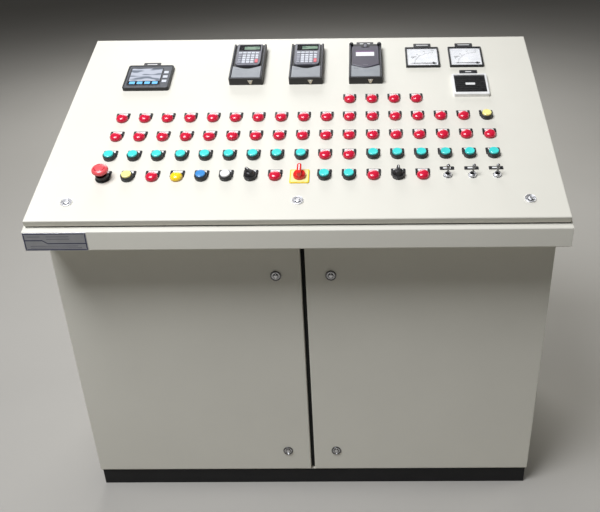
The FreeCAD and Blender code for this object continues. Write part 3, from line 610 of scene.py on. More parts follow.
def screw(shape, at, radius=4, slot=0, recess_shade_slot=1):
    """A pan-head screw with a cross recess, drawn as raised dark bars: painted shade in the
    recess.
    """
    shape.lathe(
        [(radius, 0), (radius, radius * 0.25), (radius * 0.8, radius * 0.5), (0, radius * 0.6)],
        slot, at, 20,
    )
    bar = radius * 1.1
    for turn in (0, 90):
        shape.tile(bar, radius * 0.28, 0.1, radius * 0.5, radius * 0.63, 0.05, recess_shade_slot,
                   at @ moved(turn=turn + 20))


def label_plate(shape, at, width, length, insert_width, insert_length, height=1.6):
    """A black engraving holder with its white insert; materials 0 and 1."""
    shape.slab(width, length, 1.6, 0, height, 0.4, 0, at)
    shape.tile(insert_width, insert_length, 0.4, height - 0.2, height + 0.25, 0.15, 1, at)


# Cabinet and doors


def make_cabinet():
    for node in ("floor_pan", "left_side", "right_side", "rear_panel", "door_frame"):
        dress_node(node, paint, 0 if node == "rear_panel" else 0.5)
    dress_node("plinth", plinth_paint, 0.6)
    for node in ("mounting_plate", "hinge_pins"):
        dress_node(node, zinc_plate, 0.3)


def make_tray():
    """The front of the console head: rim, face and underside folded from one sheet."""
    slope_y, slope_z = math.cos(SLOPE), math.sin(SLOPE)
    top_z = TRAY_Z + TRAY_FACE
    inner_y, inner_z = TRAY_Y + TRAY_RIM * slope_y, top_z + TRAY_RIM * slope_z
    frame_y = tray_high.y / MM
    corners = [
        (TRAY_Y, TRAY_Z), (frame_y, TRAY_Z), (frame_y, TRAY_Z + SHEET),
        (TRAY_Y + SHEET, TRAY_Z + SHEET),
        (TRAY_Y + SHEET, top_z + SHEET * slope_z / slope_y - SHEET / slope_y),
        (inner_y + SHEET * slope_z, inner_z - SHEET * slope_y), (inner_y, inner_z),
        (TRAY_Y, top_z),
    ]
    outline = rounded(corners, [3.2, 0, 0, 1.2, 1.2, 0, 0, 3.2])
    across = Matrix(((0, 0, 1, 0), (1, 0, 0, 0), (0, 1, 0, 0), (0, 0, 0, 1)))
    tray = Shape()
    half = HALF_SHELL - SHEET
    tray.prism(outline, -half, half, 0, across)
    tray.make("tray_skin", FLOOR, [paint], "cabinet", ["console_tray"], bevel=0.3)


def make_nameplate():
    """A blank rating plate: brushed silver with a dark border and one stepped line."""
    width, height = 148.5, 46
    face, ink_top, line = 0.7, 0.95, 2.2
    plate = Shape()
    at = moved(-HALF_SHELL + width / 2 + 1, TRAY_Z + TRAY_FACE / 2)
    plate.tile(width, height, 1.5, 0, 0.8, 0.2, 0, at)
    border = (width - 3, height - 3, 1.2, 0, 0)
    inside = (width - 3 - 2 * line, height - 3 - 2 * line, 0.8, 0, 0)
    plate.window(border, inside, face, ink_top, 0.05, None, 1, None, at)
    left, right = -width / 2 + 3, width / 2 - 3
    upper, lower = 4.5, -3.5
    step = [(left, upper), (-30, upper), (-18, lower), (right, lower)]
    stroke = step + [(x - 0.3, y - line) for x, y in reversed(step)]
    plate.prism(stroke[::-1], face, ink_top, 1, at)
    ruled = ((13, -64, -34), (13, -20, 34), (7, -20, 34), (-11, -60, 52), (-16, -60, 60))
    for y, first, last in ruled:
        middle = at @ moved((first + last) / 2, y)
        plate.tile(last - first, 0.9, 0.2, face, 0.9, 0.05, 1, middle)
    for side_x in SIDES:
        for side_y in SIDES:
            plate.lathe([(1.3, 0.6), (1.3, 1.1), (0, 1.5)], 0,
                        at @ moved(side_x * (width / 2 - 4.2), side_y * (height / 2 - 4.2)), 16)
    plate.make("rating_plate", front(TRAY_Y), [nameplate_silver, nameplate_ink], "cabinet")


def lock_collar(shape, at):
    """A rounded ring with a fine step inside it; its metal, pale on the lid and dark on the doors,
    is painted reflection.
    """
    crown = [
        (12.75 + 1.25 * math.cos(a), 1.5 + 1.5 * math.sin(a))
        for a in (TURN / 2 * i / 8 for i in range(9))
    ]
    shape.lathe([(11.45, 0), (14, 0), (14, 1)] + crown + [(11.45, 0.9)], 0, at, 48)


def make_door(side, sign):
    inner_x, outer_x = DOOR_SPLIT, HALF_CABINET
    width, height = outer_x - inner_x, DOOR_HIGH - DOOR_LOW
    middle = moved(sign * (inner_x + outer_x) / 2, (DOOR_LOW + DOOR_HIGH) / 2)
    body, into = f"{side}_door", front(DOOR_Y)
    door = Shape()
    door.pan(width, height, -DOOR_DEPTH, 0, 3, SHEET, 0, middle)
    door.make(body + "_pan", into, [paint], body, [body])
    collars = Shape()
    for _, level in DOOR_LOCK_LEVELS:
        lock_collar(collars, moved(sign * DOOR_LOCK_X, DOOR_LOW + level))
    # Dark collars on the door locks: painted dark reflection.
    collars.make(body + "_lock_collars", into, [smoked_painted_dark], body)
    seal = Shape()
    seal_outer, seal_inner = (width - 30, height - 30, 3, 0, 0), (width - 46, height - 46, 3, 0, 0)
    seal.window(seal_outer, seal_inner, 0, 6, 1.5, None, 0, None,
                middle @ moved(z=-DOOR_DEPTH + 1.5))
    stiffener = Shape()
    for x in (-170, 170):
        stiffener.slab(36, height - 90, 2, -12, -SHEET, 1, 0, middle @ moved(x))
    stiffener.make(body + "_stiffeners", into, [paint], body, bevel=0.4)
    seal.make(body + "_seal", into, [gasket], body)


def make_gap_shade():
    """A black strip standing in the gap where the doors meet: painted shade that darkens the gap.
    """
    strip = Shape()
    height = DOOR_HIGH - DOOR_LOW
    strip.slab(9.6, height - 4, 1.5, -DOOR_DEPTH, -12, 1.5, 0,
               moved(0, (DOOR_LOW + DOOR_HIGH) / 2))
    strip.make("door_gap_painted_shade", front(DOOR_Y), [gasket], "cabinet")


def lock_insert(name, into, cam_turn, look):
    """The turning core with its key recess, and the cam behind; it is its own body. The dark ring
    at the bottom of the recess is painted shade.
    """
    shape = Shape()
    shape.lathe(
        [(0, -29.5), (9, -29.5), (9, 0.6), (11, 0.6), (11, 1.5), (10.6, 2.3), (9.6, 2.2),
         (8.6, 0.9), (7.6, 0.9)], 0, None, 48,
    )
    shape.lathe([(7.7, 0.8), (6.6, 1.0), (6.2, 1.2), (0, 1.2)], 1, None, 48)
    shape.lathe([(5.6, 1.0), (5.3, 2.6), (4.3, 3.4), (2.2, 3.6), (0, 3.6)], 0, None, 32)
    shape.slab(2.6, 15.4, 0.9, 1.0, 3.0, 0.5, 0, moved(turn=cam_turn + 90), steps=2)
    shape.tile(52, 14, 4, -29.5, -27.5, 0.3, 0, moved(turn=cam_turn) @ moved(19))
    shape.lathe([(0, -34), (5, -34), (5.8, -33), (5.8, -29.5), (0, -29.5)], 0, None, 6)
    shape.make(name + "_core", into, [look, recess_painted_shade], name, [name])


def make_locks():
    for side, sign in (("left", -1), ("right", 1)):
        for level, rise in DOOR_LOCK_LEVELS:
            into = front(DOOR_Y) @ moved(sign * DOOR_LOCK_X, DOOR_LOW + rise)
            lock_insert(f"{side}_door_lock_{level}", into, -90, chrome)
    # Pale satin metal on the lid locks: painted bright reflection.
    collars = Shape()
    for side, x in LID_LOCKS:
        lock_insert(f"lid_lock_{side}", LID @ moved(x, LID_LOCK_Y), 0, satin_painted_bright)
        lock_collar(collars, moved(x, LID_LOCK_Y))
    collars.make("lid_lock_collars", LID, [satin_painted_bright], "lid")


# Lid


def make_lid():
    lid = Shape()
    lid.pan(LID_WIDTH, LID_LENGTH, -LID_LIP, 0, 3.2, SHEET, 0, moved(0, LID_LENGTH / 2))
    lid.make("lid_pan", LID, [paint], "lid", ["lid_panel"])
    hinge_y, hinge_z = LID_LENGTH + 5, -LID_LIP - 2.25
    knuckles = Shape()
    along = rotation(TURN / 4, "Y")
    for x in (-450, 0, 450):
        at = moved(x, hinge_y, hinge_z) @ along
        knuckles.lathe([(2.6, -9.5), (4.2, -9.5), (4.5, -9.2), (4.5, 9.2), (4.2, 9.5), (2.6, 9.5)],
                       0, at, 32)
        knuckles.slab(19, 13.6, 0.6, 0, 1.6, 0.3, 0,
                      moved(x, LID_LENGTH, -9.6) @ rotation(-TURN / 4, "X"))
    knuckles.make("lid_hinge_leaves", LID, [zinc_plate], "lid")
    dress_node("lid_seal", gasket)


def lamp(shape, at):
    """A one-piece domed lens over its bezel; materials 0 bezel and 1 lens."""
    shape.lathe(
        [(11, 0), (15.3, 0), (15.3, 2.2), (15.0, 2.8), (14.8, 3.0), (14.8, 3.3)], 0, at, 40,
    )
    top, base, radius = 11.6, 3.1, 14.7
    dome = [
        (radius * math.cos(a) ** 0.8, base + (top - base) * math.sin(a))
        for a in (TURN / 4 * i / 9 for i in range(9))
    ]
    shape.lathe(dome + [(0, top)], 1, at, 40)


def make_lamps():
    for kinds, node, materials, slot in (
        ("R", "red_lamps", [red_bezel, red_lens], "red_lens"),
        ("Y", "yellow_lamp", [yellow_bezel, yellow_lens], "yellow_lens"),
    ):
        shape = Shape()
        for x, y in devices(kinds):
            lamp(shape, moved(x, y, 1.5))
        shape.make(node + "_lenses", LID, materials, "lid", [node])


def make_legends():
    """Black holders with a white insert, standing behind the devices and the larger units."""
    shape = Shape()
    for x, y in devices("RYTPBWSE"):
        lean = rng.uniform(-1.5, 1.5)
        at = moved(x, y, turn=lean)
        outline = rounded([(-17.5, 1), (17.5, 1), (17.5, 25.5), (-17.5, 25.5)], [2, 2, 2, 2])
        shape.prism(outline, 0, 1.5, 0, at)
        for side in SIDES:
            shape.slab(5.4, 13, 1.6, 1.4, 3.2, 0.6, 0, at @ moved(side * 14.8, 17))
        shape.tile(23.5, 7.6, 0.5, 1.4, 2.1, 0.2, 1, at @ moved(0, 20))
    for x, y in devices("G"):
        label_plate(shape, moved(x, y + 26), 35, 11, 19, 5, 1.8)
    shape.make("legend_holders", LID, [black, label_white], "lid",
               ["legend_plates"])
    unit_labels = (
        (-446, 629, 48, 28), (330, 714, 50, 34), (451, 714, 51, 34), (452, 578, 50, 17),
        (163, 725, 49, 30),
    )
    extra = Shape()
    for x, y, width, insert in unit_labels:
        label_plate(extra, moved(x, y), width, 17, insert, 3.2)
    extra.make("panel_labels", LID, [black, label_white], "lid")


def collar_profile(top=11.6):
    """A grooved ring round a cap; the middle groove parts the bezel from its nut."""
    groove = top * 0.5
    return [
        (12.4, 1.8), (12.4, top - 0.8), (13.0, top), (14.2, top), (15.0, top - 0.8),
        (15.3, groove + 1), (14.7, groove + 0.6), (14.7, groove), (15.4, groove - 0.4),
        (15.4, 1.6), (15.0, 0), (11, 0), (11, 1.8),
    ]


def make_device_bodies():
    """Collars above the lid, and barrels, nuts and contact blocks below it."""
    collars = Shape()
    for x, y in devices("TPBWS"):
        collars.lathe(collar_profile(), 0, moved(x, y), 40)
    for x, y in devices("E"):
        collars.lathe(collar_profile(14), 0, moved(x, y), 48)
        collars.lathe([(15.4, 3), (17.6, 3), (17.8, 0), (15.4, 0)], 0, moved(x, y), 48)
    collars.make("device_collars", LID, [black], "lid", ["device_bodies"])
    under = Shape()
    for x, y in devices("RYTPBWSEGC"):
        at = moved(x, y)
        under.lathe([(0, 1.5), (10.9, 1.5), (10.9, -13), (0, -13)][::-1], 0, at, 24)
        under.lathe([(11, -2), (14.4, -2), (14.4, -7), (11, -7)], 2, at, 6)
        under.slab(29, 39, 1.5, -20, -12, 1, 0, at)
        for side in SIDES:
            half = at @ moved(side * 7.2)
            under.slab(13.6, 38, 1, -43, -19.5, 0.8, 1 if side < 0 else 3, half)
            for end in SIDES:
                screw(under, half @ moved(0, end * 14, -43) @ rotation(TURN / 2, "X"), 3, 2, 0)
    under.make("contact_blocks", LID, [black, contact_green, chrome, drive_grey], "lid")


def make_wiring():
    """Looms tied along the device rows under the lid, gathered at the hinge side."""
    looms = Shape()
    edge = 512
    for row in range(len(PANEL_ROWS)):
        y = FIRST_ROW + row * ROW_PITCH + 34
        first = 60 if row == 4 else -edge
        points = []
        for i in range(49):
            x = first + (edge - first) * i / 48
            sway = 2.5 * math.sin(x / 23 + row)
            points.append((x, y + sway, -14 - 2 * math.cos(x / 31 + row * 2)))
        looms.tube(points, 6, row % 2, 12)
        for i in range(3, 47, 4):
            tie = moved(*points[i]) @ rotation(TURN / 4, "Y")
            looms.lathe([(6, -1.3), (6.9, -1.3), (6.9, 1.3), (6, 1.3)], 2, tie, 14)
    trunk = [(edge + 8 * math.sin(i / 3), 170 + 14 * i, -15) for i in range(40)]
    looms.tube(trunk, 9, 0, 14)
    looms.make("lid_looms", LID, [wire_black, wire_blue, white_plastic], "lid")


def button_cap(shape, at):
    shape.lathe(
        [(0, 7), (12.1, 7), (12.1, 13.8), (11.7, 14.9), (10.9, 15.4), (9.8, 15.3), (5, 14.9),
         (0, 14.8)], 0, at, 40,
    )


def make_buttons():
    looks = {
        "T": ("teal_button", teal_cap, "teal_cap"), "P": ("pale_button", pale_cap, "pale_cap"),
        "B": ("blue_button", blue_cap, "blue_cap"), "W": ("white_button", white_cap, "white_cap"),
    }
    for kind, (name, material, slot) in looks.items():
        for number, (x, y) in enumerate(devices(kind), start=1):
            node = f"{name}_{number:02d}"
            shape = Shape()
            button_cap(shape, moved(x, y))
            shape.make(node + "_cap", LID, [material], node, [node])


def make_stop():
    x, y = devices("E")[0]
    stem = Shape()
    stem.lathe([(0, 9), (8, 9), (8, 24.5), (0, 24.5)], 0, moved(x, y), 32)
    stem.make("stop_stem_rod", LID, [black], "stop_stem", ["stop_stem"])
    head = Shape()
    head.lathe(
        [(0, 24.9), (8.1, 24.9), (8.1, 18), (11.4, 18), (12, 18.6), (12.4, 21), (15.5, 22.8),
         (18.8, 23.9), (19.8, 25.2), (20, 27.5), (19.5, 30), (17.6, 32.6), (13.5, 34.6),
         (8, 35.7), (0, 36)], 0, moved(x, y), 56,
    )
    for turn in (90, 210, 330):
        at = moved(x, y, 34.2, turn)  # three curved arrows on the crown
        band = arc(12.9, -32, 20, 8) + arc(11.3, 20, -32, 8)
        head.prism(band, 0, 0.9, 1, at)
        tip = arc(14.6, 19, 20, 1) + arc(12.1, 36, 37, 1) + arc(9.6, 20, 19, 1)
        head.prism(tip, 0, 0.9, 1, at)
    head.make("stop_head_mushroom", LID, [stop_red, red_bezel], "stop_head",
              ["stop_head"])


def make_selectors():
    for number, ((x, y), turn) in enumerate(zip(devices("S"), (45, 0)), start=1):
        at = moved(x, y, turn=turn)
        shape = Shape()
        shape.lathe(
            [(0, 1.6), (12, 1.6), (12, 13.2), (11.4, 15.4), (9.6, 17.8), (7, 19.4), (0, 20)],
            0, at, 40)
        base = rounded([(-6.4, -13), (6.4, -13), (4.8, 15), (-4.8, 15)], [4, 4, 4, 4])
        top = rounded([(-4.6, -11), (4.6, -11), (3.2, 15), (-3.2, 15)], [4, 4, 2.8, 2.8])
        rings = [raised(base, 12.4), raised(top, 22.0)]
        for grow, rise in ((0.96, 23.2), (0.82, 23.9)):
            rings.append([(px * grow, (py - 2) * (0.5 + grow / 2) + 2, rise) for px, py in top])
        shape.rings(rings, 0, at)
        shape.tile(1.4, 9, 0.5, 23.7, 24.0, 0.1, 1, at @ moved(0, 8.5))
        node = f"selector_handle_{number}"
        shape.make(node + "_grip", LID, [black_fine, label_white], node, [node])


def make_cam_switch():
    x, y = devices("C")[0]
    at = moved(x, y)
    plate = Shape()
    plate.slab(48, 48, 3, 0, 3.0, 1.0, 0, at, top_slot=1)
    plate.window((46.5, 46.5, 2.4, 0, 0), (42, 42, 2, 0, 0), 2.4, 3.3, 0.25, None, 0, None, at)
    plate.make("cam_switch_plate", LID, [plate_yellow, plate_pale], "lid")
    knob = Shape()
    knob.lathe([(0, 3.5), (15.5, 3.5), (15.5, 7), (15, 10.5), (13.2, 13), (0, 14)], 0, at, 48)
    outline = rounded([(-6.6, -13.5), (6.6, -13.5), (5.8, 24), (-5.8, 24)], [5, 5, 4, 4])
    levels = ((1, 1, 8), (0.94, 0.99, 20.5), (0.86, 0.97, 22.8), (0.66, 0.94, 23.8))
    rings = [
        [(px * narrow, py * short, z) for px, py in outline] for narrow, short, z in levels
    ]
    knob.rings(rings, 0, at)
    knob.tile(3, 22, 1.2, 23.5, 24.0, 0.1, 1, at @ moved(0, 9))
    knob.make("cam_switch_grip", LID, [knob_red, label_white], "cam_switch_knob",
              ["cam_switch_knob"])


def make_toggles():
    bushings = Shape()
    for number, ((x, y), side) in enumerate(zip(devices("G"), (0, 1, 0)), start=1):
        at = moved(x, y)
        bushings.lathe([(5.5, 0), (11.2, 0), (11.2, 1.0), (10.7, 1.5), (5.5, 1.5)], 0, at, 40)
        bushings.lathe([(6.6, 1.4), (10.4, 1.4), (10.4, 4.0), (9.6, 4.8), (6.6, 4.8)], 0, at, 6)
        threads = [(6.6, 4.4)]
        for i in range(4):
            threads += [(7.6, 4.5 + i * 0.8), (8.0, 4.9 + i * 0.8)]
        bushings.lathe(threads + [(7.4, 7.8), (6.5, 7.8)], 0, at, 32)
        lean = rotation(-math.radians(12.5), "X") @ rotation(side * math.radians(6), "Y")
        lever = Shape()
        lever.lathe(
            [(0, -4.4), (3, -3.3), (4.4, -0.6), (3.9, 2.2), (2.5, 3.8), (2.2, 6), (2.6, 12),
             (3.8, 18), (4.3, 21.5), (4.0, 23.8), (2.6, 25.2), (0, 25.7)],
            0, at @ moved(z=6) @ lean, 28,
        )
        node = f"toggle_lever_{number}"
        lever.make(node + "_bat", LID, [smoked_painted_dark], node, [node])
    bushings.make("toggle_bushings", LID, [satin_painted_bright], "lid")


# Touch panel, keypads, meters and hooter


def make_hmi():
    """Touch panel: recessed face, screen with a blue key strip, and three keys beside it."""
    at = moved(*HMI_AT)
    shape = Shape()
    shape.window((128, 110, 7, 0, 0), (119, 101, 4, 0, 0), 0, 10, 1.6, 8.8, 0, 1, at)
    shape.window((92, 82, 3, -8.5, 0.5), (86, 77, 1, -8.5, 0.5), 8.7, 9.6, 0.4, 9.0, 5, 2, at)
    shape.tile(86, 17, 0.5, 8.8, 9.1, 0.1, 6, at @ moved(-8.5, -29.5))
    for i in range(4):
        shape.tile(15.5, 11, 1.4, 9.0, 9.6, 0.3, 3, at @ moved(-40 + i * 21, -29.5))
    for i in range(3):
        shape.tile(13, 11, 1.2, 8.6, 9.9, 0.5, 4, at @ moved(47.5, 20 - i * 21))
    shape.lathe([(0, 8.5), (2, 8.5), (2, 8.9), (0, 9)], 4, at @ moved(-52, -38), 20)
    looks = [black_fine, dark_grey, hmi_screen, key_blue, key_pale, black, window_black]
    shape.make("hmi_face", LID, looks, "lid", ["hmi_panel"])


def keypad_shell(shape, at):
    """The black remote housing with its raised side rails and front latch; a thin grey strip along
    each rail top is a painted highlight.
    """
    shape.slab(93, 172, 3, 0, 17.5, 1.5, 0, at)
    for side in SIDES:
        shape.slab(5.5, 170, 2.4, 16, 21.5, 1.6, 0, at @ moved(side * 43.6))
        # Thin grey strip on the rail top: painted highlight.
        shape.tile(1.0, 160, 0.4, 21.2, 21.8, 0.2, 3, at @ moved(side * 42.6))
    shape.slab(93, 6, 2.4, 16, 21, 1.4, 0, at @ moved(0, -83))
    notch = at @ moved(13, -86.2, 6) @ UPRIGHT
    vee = [(-7, 9), (-4.2, 9), (0, 2.5), (4.2, 9), (7, 9), (1.8, -3), (-1.8, -3)]
    shape.prism(vee, -0.6, 0.9, 7, notch)
    shape.prism([(0, 3.4), (3.6, 9), (-3.6, 9)], -0.6, 0.3, 4, notch)


def keypad_cover(shape, at, dip):
    """The pale lower cover, its upper edge curved down by the dip in the middle."""
    upper = [(x, -26 - dip * math.cos(x / 40 * TURN / 4) ** 1.5) for x in range(-40, 41, 5)]
    outline = [(-40, -79), (40, -79)] + upper[::-1]
    rings = [raised(outline, 17), raised(outline, 20)]
    rings.append([(x * 0.985, (y + 52) * 0.975 - 52, 20.8) for x, y in outline])
    shape.rings(rings, 1, at)
    shape.tile(12, 1.2, 0.4, 20.6, 20.95, 0.1, 2, at @ moved(-26, -42))


def keypad_module(shape, at):
    """The hand-held keypad: display window, a soft-key row, number keys and a red stop key."""
    outline = rounded([(-34, -22), (34, -22), (36, 0), (36, 82), (-36, 82), (-36, 0)],
                      [10, 10, 2, 3, 3, 2])
    rings = [raised(outline, 17), raised(outline, 22.2)]
    rings.append([(x * 0.97, (y - 30) * 0.98 + 30, 23.2) for x, y in outline])
    shape.rings(rings, 2, at)
    shape.slab(62, 31, 2, 23.0, 23.6, 0.3, 5, at @ moved(1, 62))
    shape.tile(44, 15, 0.8, 23.5, 23.8, 0.1, 6, at @ moved(7, 60))
    for column in range(5):
        x = -24 + 12 * column
        shape.slab(10, 6.6, 1.2, 23.0, 24.4, 0.5, 8, at @ moved(x, 36), steps=2)
        wide = 1 <= column <= 3
        for row in range(4 if column < 4 else 2):
            shape.slab(9.4 if wide else 8.4, 8.2, 1.2, 23.0, 24.5, 0.5, 8 if column else 9,
                       at @ moved(x, 23 - 11 * row), steps=2)
    shape.slab(8.4, 17, 1.2, 23.0, 24.5, 0.5, 10, at @ moved(24, -4.2), steps=2)


def keypad_blank(shape, at):
    """The dark cover fitted in place of a keypad, with its centre latch and white label."""
    bottom = [(x, -24 - 13 * math.cos(x / 40 * TURN / 4) ** 1.5) for x in range(-38, 39, 4)]
    outline = bottom + [(38, 66), (14, 68), (12, 60), (-12, 60), (-14, 68), (-38, 66)]
    rings = [raised(outline, 17), raised(outline, 21.5)]
    rings.append([(x * 0.97, (y - 16) * 0.975 + 16, 22.5) for x, y in outline])
    shape.rings(rings, 11, at)
    shape.slab(16, 22, 6, 17, 21.6, 1.2, 0, at @ moved(0, 72))
    shape.slab(7, 16, 3, 21, 22.8, 0.8, 2, at @ moved(0, 70))
    shape.tile(52, 20, 1, 22.3, 22.9, 0.2, 4, at @ moved(-1, 26))
    shape.tile(52, 6, 0.5, 22.3, 22.95, 0.2, 12, at @ moved(-1, 39.5))
    shape.tile(14, 2.4, 1, 22.3, 22.8, 0.2, 2, at @ moved(0, -27))
    for side in SIDES:
        shape.lathe([(0, 17), (5.5, 17), (5.5, 23), (4.4, 24.4), (0, 24.8)], 0,
                    at @ moved(side * 40, 80), 24)


def make_keypads():
    shape = Shape()
    for x in KEYPAD_X:
        at = moved(x, KEYPAD_Y)
        last = x == KEYPAD_X[-1]
        keypad_shell(shape, at)
        keypad_cover(shape, at, 13 if last else 12)
        (keypad_blank if last else keypad_module)(shape, at)
    # Slot 3 repeats silver grey for the painted highlight on the keypad rails.
    looks = [black_fine, cover_grey, silver_grey, silver_grey, label_white, window_black,
             lcd_green, notch_beige, key_pale, key_grey, key_red, purple_grey, label_purple]
    shape.make("keypad_units", LID, looks, "lid", ["keypad_bezels"])


def meter_face(shape, at):
    """Square case with a white dial and its quarter-circle scale."""
    shape.window((96, 96, 2, 0, 0), (87, 87, 1.2, 0, 0), 0, 6.4, 0.8, 2.0, 0, 1, at)
    pivot = at @ moved(*METER_PIVOT, 2.0)
    shape.prism(arc(53, 90, 180, 30) + arc(52.6, 180, 90, 30), 0, 0.12, 2, pivot)
    for i in range(21):
        angle = 90 + 4.5 * i
        length = 5.5 if i % 5 == 0 else 2.8
        width = 0.7 if i % 5 == 0 else 0.35
        tick = pivot @ moved(turn=angle) @ moved(52.8 + length / 2)
        shape.prism(rounded_box(length, width, 0.05, 1), 0, 0.12, 2, tick)
    shape.tile(16, 1.6, 0.4, 2.0, 2.12, 0.05, 2, at @ moved(-24, 4))
    shape.tile(9, 1.6, 0.4, 2.0, 2.12, 0.05, 2, at @ moved(-27, 0))


def dial_number(text, size, at, name):
    """One scale figure, flat on the dial."""
    curve = bpy.data.curves.new(name, "FONT")
    curve.body = text
    curve.size = size
    curve.align_x, curve.align_y = "CENTER", "CENTER"
    holder = bpy.data.objects.new(name, curve)
    scene.collection.objects.link(holder)
    bpy.context.view_layer.update()
    mesh = bpy.data.meshes.new_from_object(holder)
    bpy.data.objects.remove(holder)
    mesh.transform(at)
    return mesh


def make_meters():
    cases = Shape()
    covers = Shape()
    figure_size = 5.4
    figure_arc = 64.5
    for side, x in METER_X:
        at = moved(x, METER_Y)
        meter_face(cases, at)
        covers.tile(86.6, 86.6, 1, 5.0, 5.7, 0.2, 0, at)
        needle = Shape()
        hub = at @ moved(*METER_PIVOT)
        needle.lathe([(0, 2.5), (4, 2.5), (4, 3.7), (3.4, 4.3), (0, 4.4)], 0, hub, 28)
        taper = [(0, -1.1), (0, 1.1), (-54, 0.5), (-62, 0.12), (-62, -0.12), (-54, -0.5)]
        needle.prism(taper, 2.7, 3.5, 0, hub)
        needle.prism([(0, -1.2), (8, -1.5), (8, 1.5), (0, 1.2)], 2.7, 3.5, 0, hub)
        node = f"meter_needle_{side}"
        needle.make(node + "_arm", LID, [needle_black], node, [node])
        figures = bpy.data.meshes.new(f"meter_figures_{side}")
        work = bmesh.new()
        for i, text in enumerate(("0", "25", "50", "75", "100")):
            angle = math.radians(180 - 22.5 * i)
            spot = hub @ moved(figure_arc * math.cos(angle), figure_arc * math.sin(angle), 2.1)
            work.from_mesh(dial_number(text, figure_size, LID @ spot, f"figure_{side}_{i}"))
        work.to_mesh(figures)
        work.free()
        figures.materials.append(dial_ink)
        holder = bpy.data.objects.new(f"meter_figures_{side}", figures)
        scene.collection.objects.link(holder)
        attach(holder, "lid")
    cases.make("meter_frames", LID, [black_fine, dial_white, dial_ink], "lid",
               ["meter_cases"])
    covers.make("meter_glasses", LID, [clear_glass], "lid")


def make_hooter():
    """Square panel hooter: white frame, black grille and a small label across it."""
    at = moved(*HOOTER_AT)
    shape = Shape()
    shape.window((96, 96, 3, 0, 0), (85, 79, 1.5, 0, 2), 0, 9.5, 1.4, 3.5, 0, 1, at)
    for i in range(27):
        shape.slab(1.5, 79, 0.4, 3.4, 7.2, 0.4, 1, at @ moved(-41.6 + 3.2 * i, 2), steps=2)
    for i in range(9):
        shape.slab(85, 1.4, 0.4, 3.4, 6.2, 0.3, 1, at @ moved(0, 2 - 36 + 9 * i), steps=2)
    shape.tile(26, 9.5, 0.8, 6.8, 7.7, 0.3, 2, at @ moved(0, 2))
    shape.make("hooter_case", LID, [white_plastic, mesh_black, label_white], "lid",
               ["hooter"])


# Rear and interior


def make_rear_details():
    """Pressed louvre hoods, and the screws of the rear panel and the lid's hinges."""
    hoods = Shape()
    ends = [(-79, 0.15), (-74, 0.8), (-68, 1.0)]
    for side in SIDES:
        for i in range(8):
            at = moved(side * 200, 622.5 + 16 * i)
            rings = [
                [(x, py * size + 2.6, pz * size) for py, pz in arc(5.2, 0, 180, 8)]
                for x, size in ends + [(-x, size) for x, size in reversed(ends)]
            ]
            hoods.rings(rings, 0, at)
    hoods.make("rear_louvres", back(BACK_Y), [paint], "cabinet")
    screws = Shape()
    rim = [(x, y) for x in (-600, -300, 0, 300, 600) for y in (80, 820)]
    rim += [(x, y) for x in (-600, 600) for y in (330, 580)]
    for x, y in rim:
        screw(screws, moved(x, y), 4.5)
    for x in (-450, 0, 450):
        for step in (-18, 18):
            screw(screws, moved(x + step, rear_high.z / MM - 22, SHEET), 3)
    screws.make("rear_screws", back(BACK_Y), [chrome, recess_painted_shade], "cabinet")


def make_drives():
    """Three drive units with vents, cover, display and terminal shroud."""
    low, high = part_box("drive_units")
    face_y = low.y / MM + 8
    depth = high.y / MM - face_y
    base, height = low.z / MM, (high.z - low.z) / MM
    shape = Shape()
    for x in (-300, 0, 300):
        at = moved(x, base + height / 2)
        shape.slab(190, height, 5, -depth, 0, 3, 0, at)
        shape.slab(166, 210, 6, -1, 8, 3, 1, at @ moved(0, 53))
        shape.slab(60, 84, 4, 7.5, 12, 2, 2, at @ moved(0, 84))
        shape.tile(44, 18, 1, 11.8, 12.4, 0.2, 3, at @ moved(0, 108))
        for column in (-1, 0, 1):
            for row in range(3):
                shape.slab(10, 8, 2, 11.5, 13.4, 0.8, 4,
                           at @ moved(column * 15, 86 - row * 13), steps=2)
        shape.slab(166, 96, 4, -1, 4, 2, 2, at @ moved(0, -112))
        # Vent slots, here and on the cover below, are dark tiles: painted shade in the openings.
        for i in range(14):
            shape.tile(8, 2.6, 1, -0.4, 1.6, 0.5, 2, at @ moved(-78 + 12 * i, height / 2 - 8))
        for i in range(9):
            shape.tile(120, 2.2, 0.8, 7.6, 9, 0.5, 2, at @ moved(0, 20 - 6 * i))
        for side_x in SIDES:
            for side_y in SIDES:
                screw(shape, at @ moved(side_x * 75, -112 + side_y * 38, 4), 3.5, 5, 2)
    looks = [drive_grey, duct_grey, black, lcd_green, key_pale, chrome]
    shape.make("drive_cases", front(face_y), looks, "cabinet", ["drive_units"])


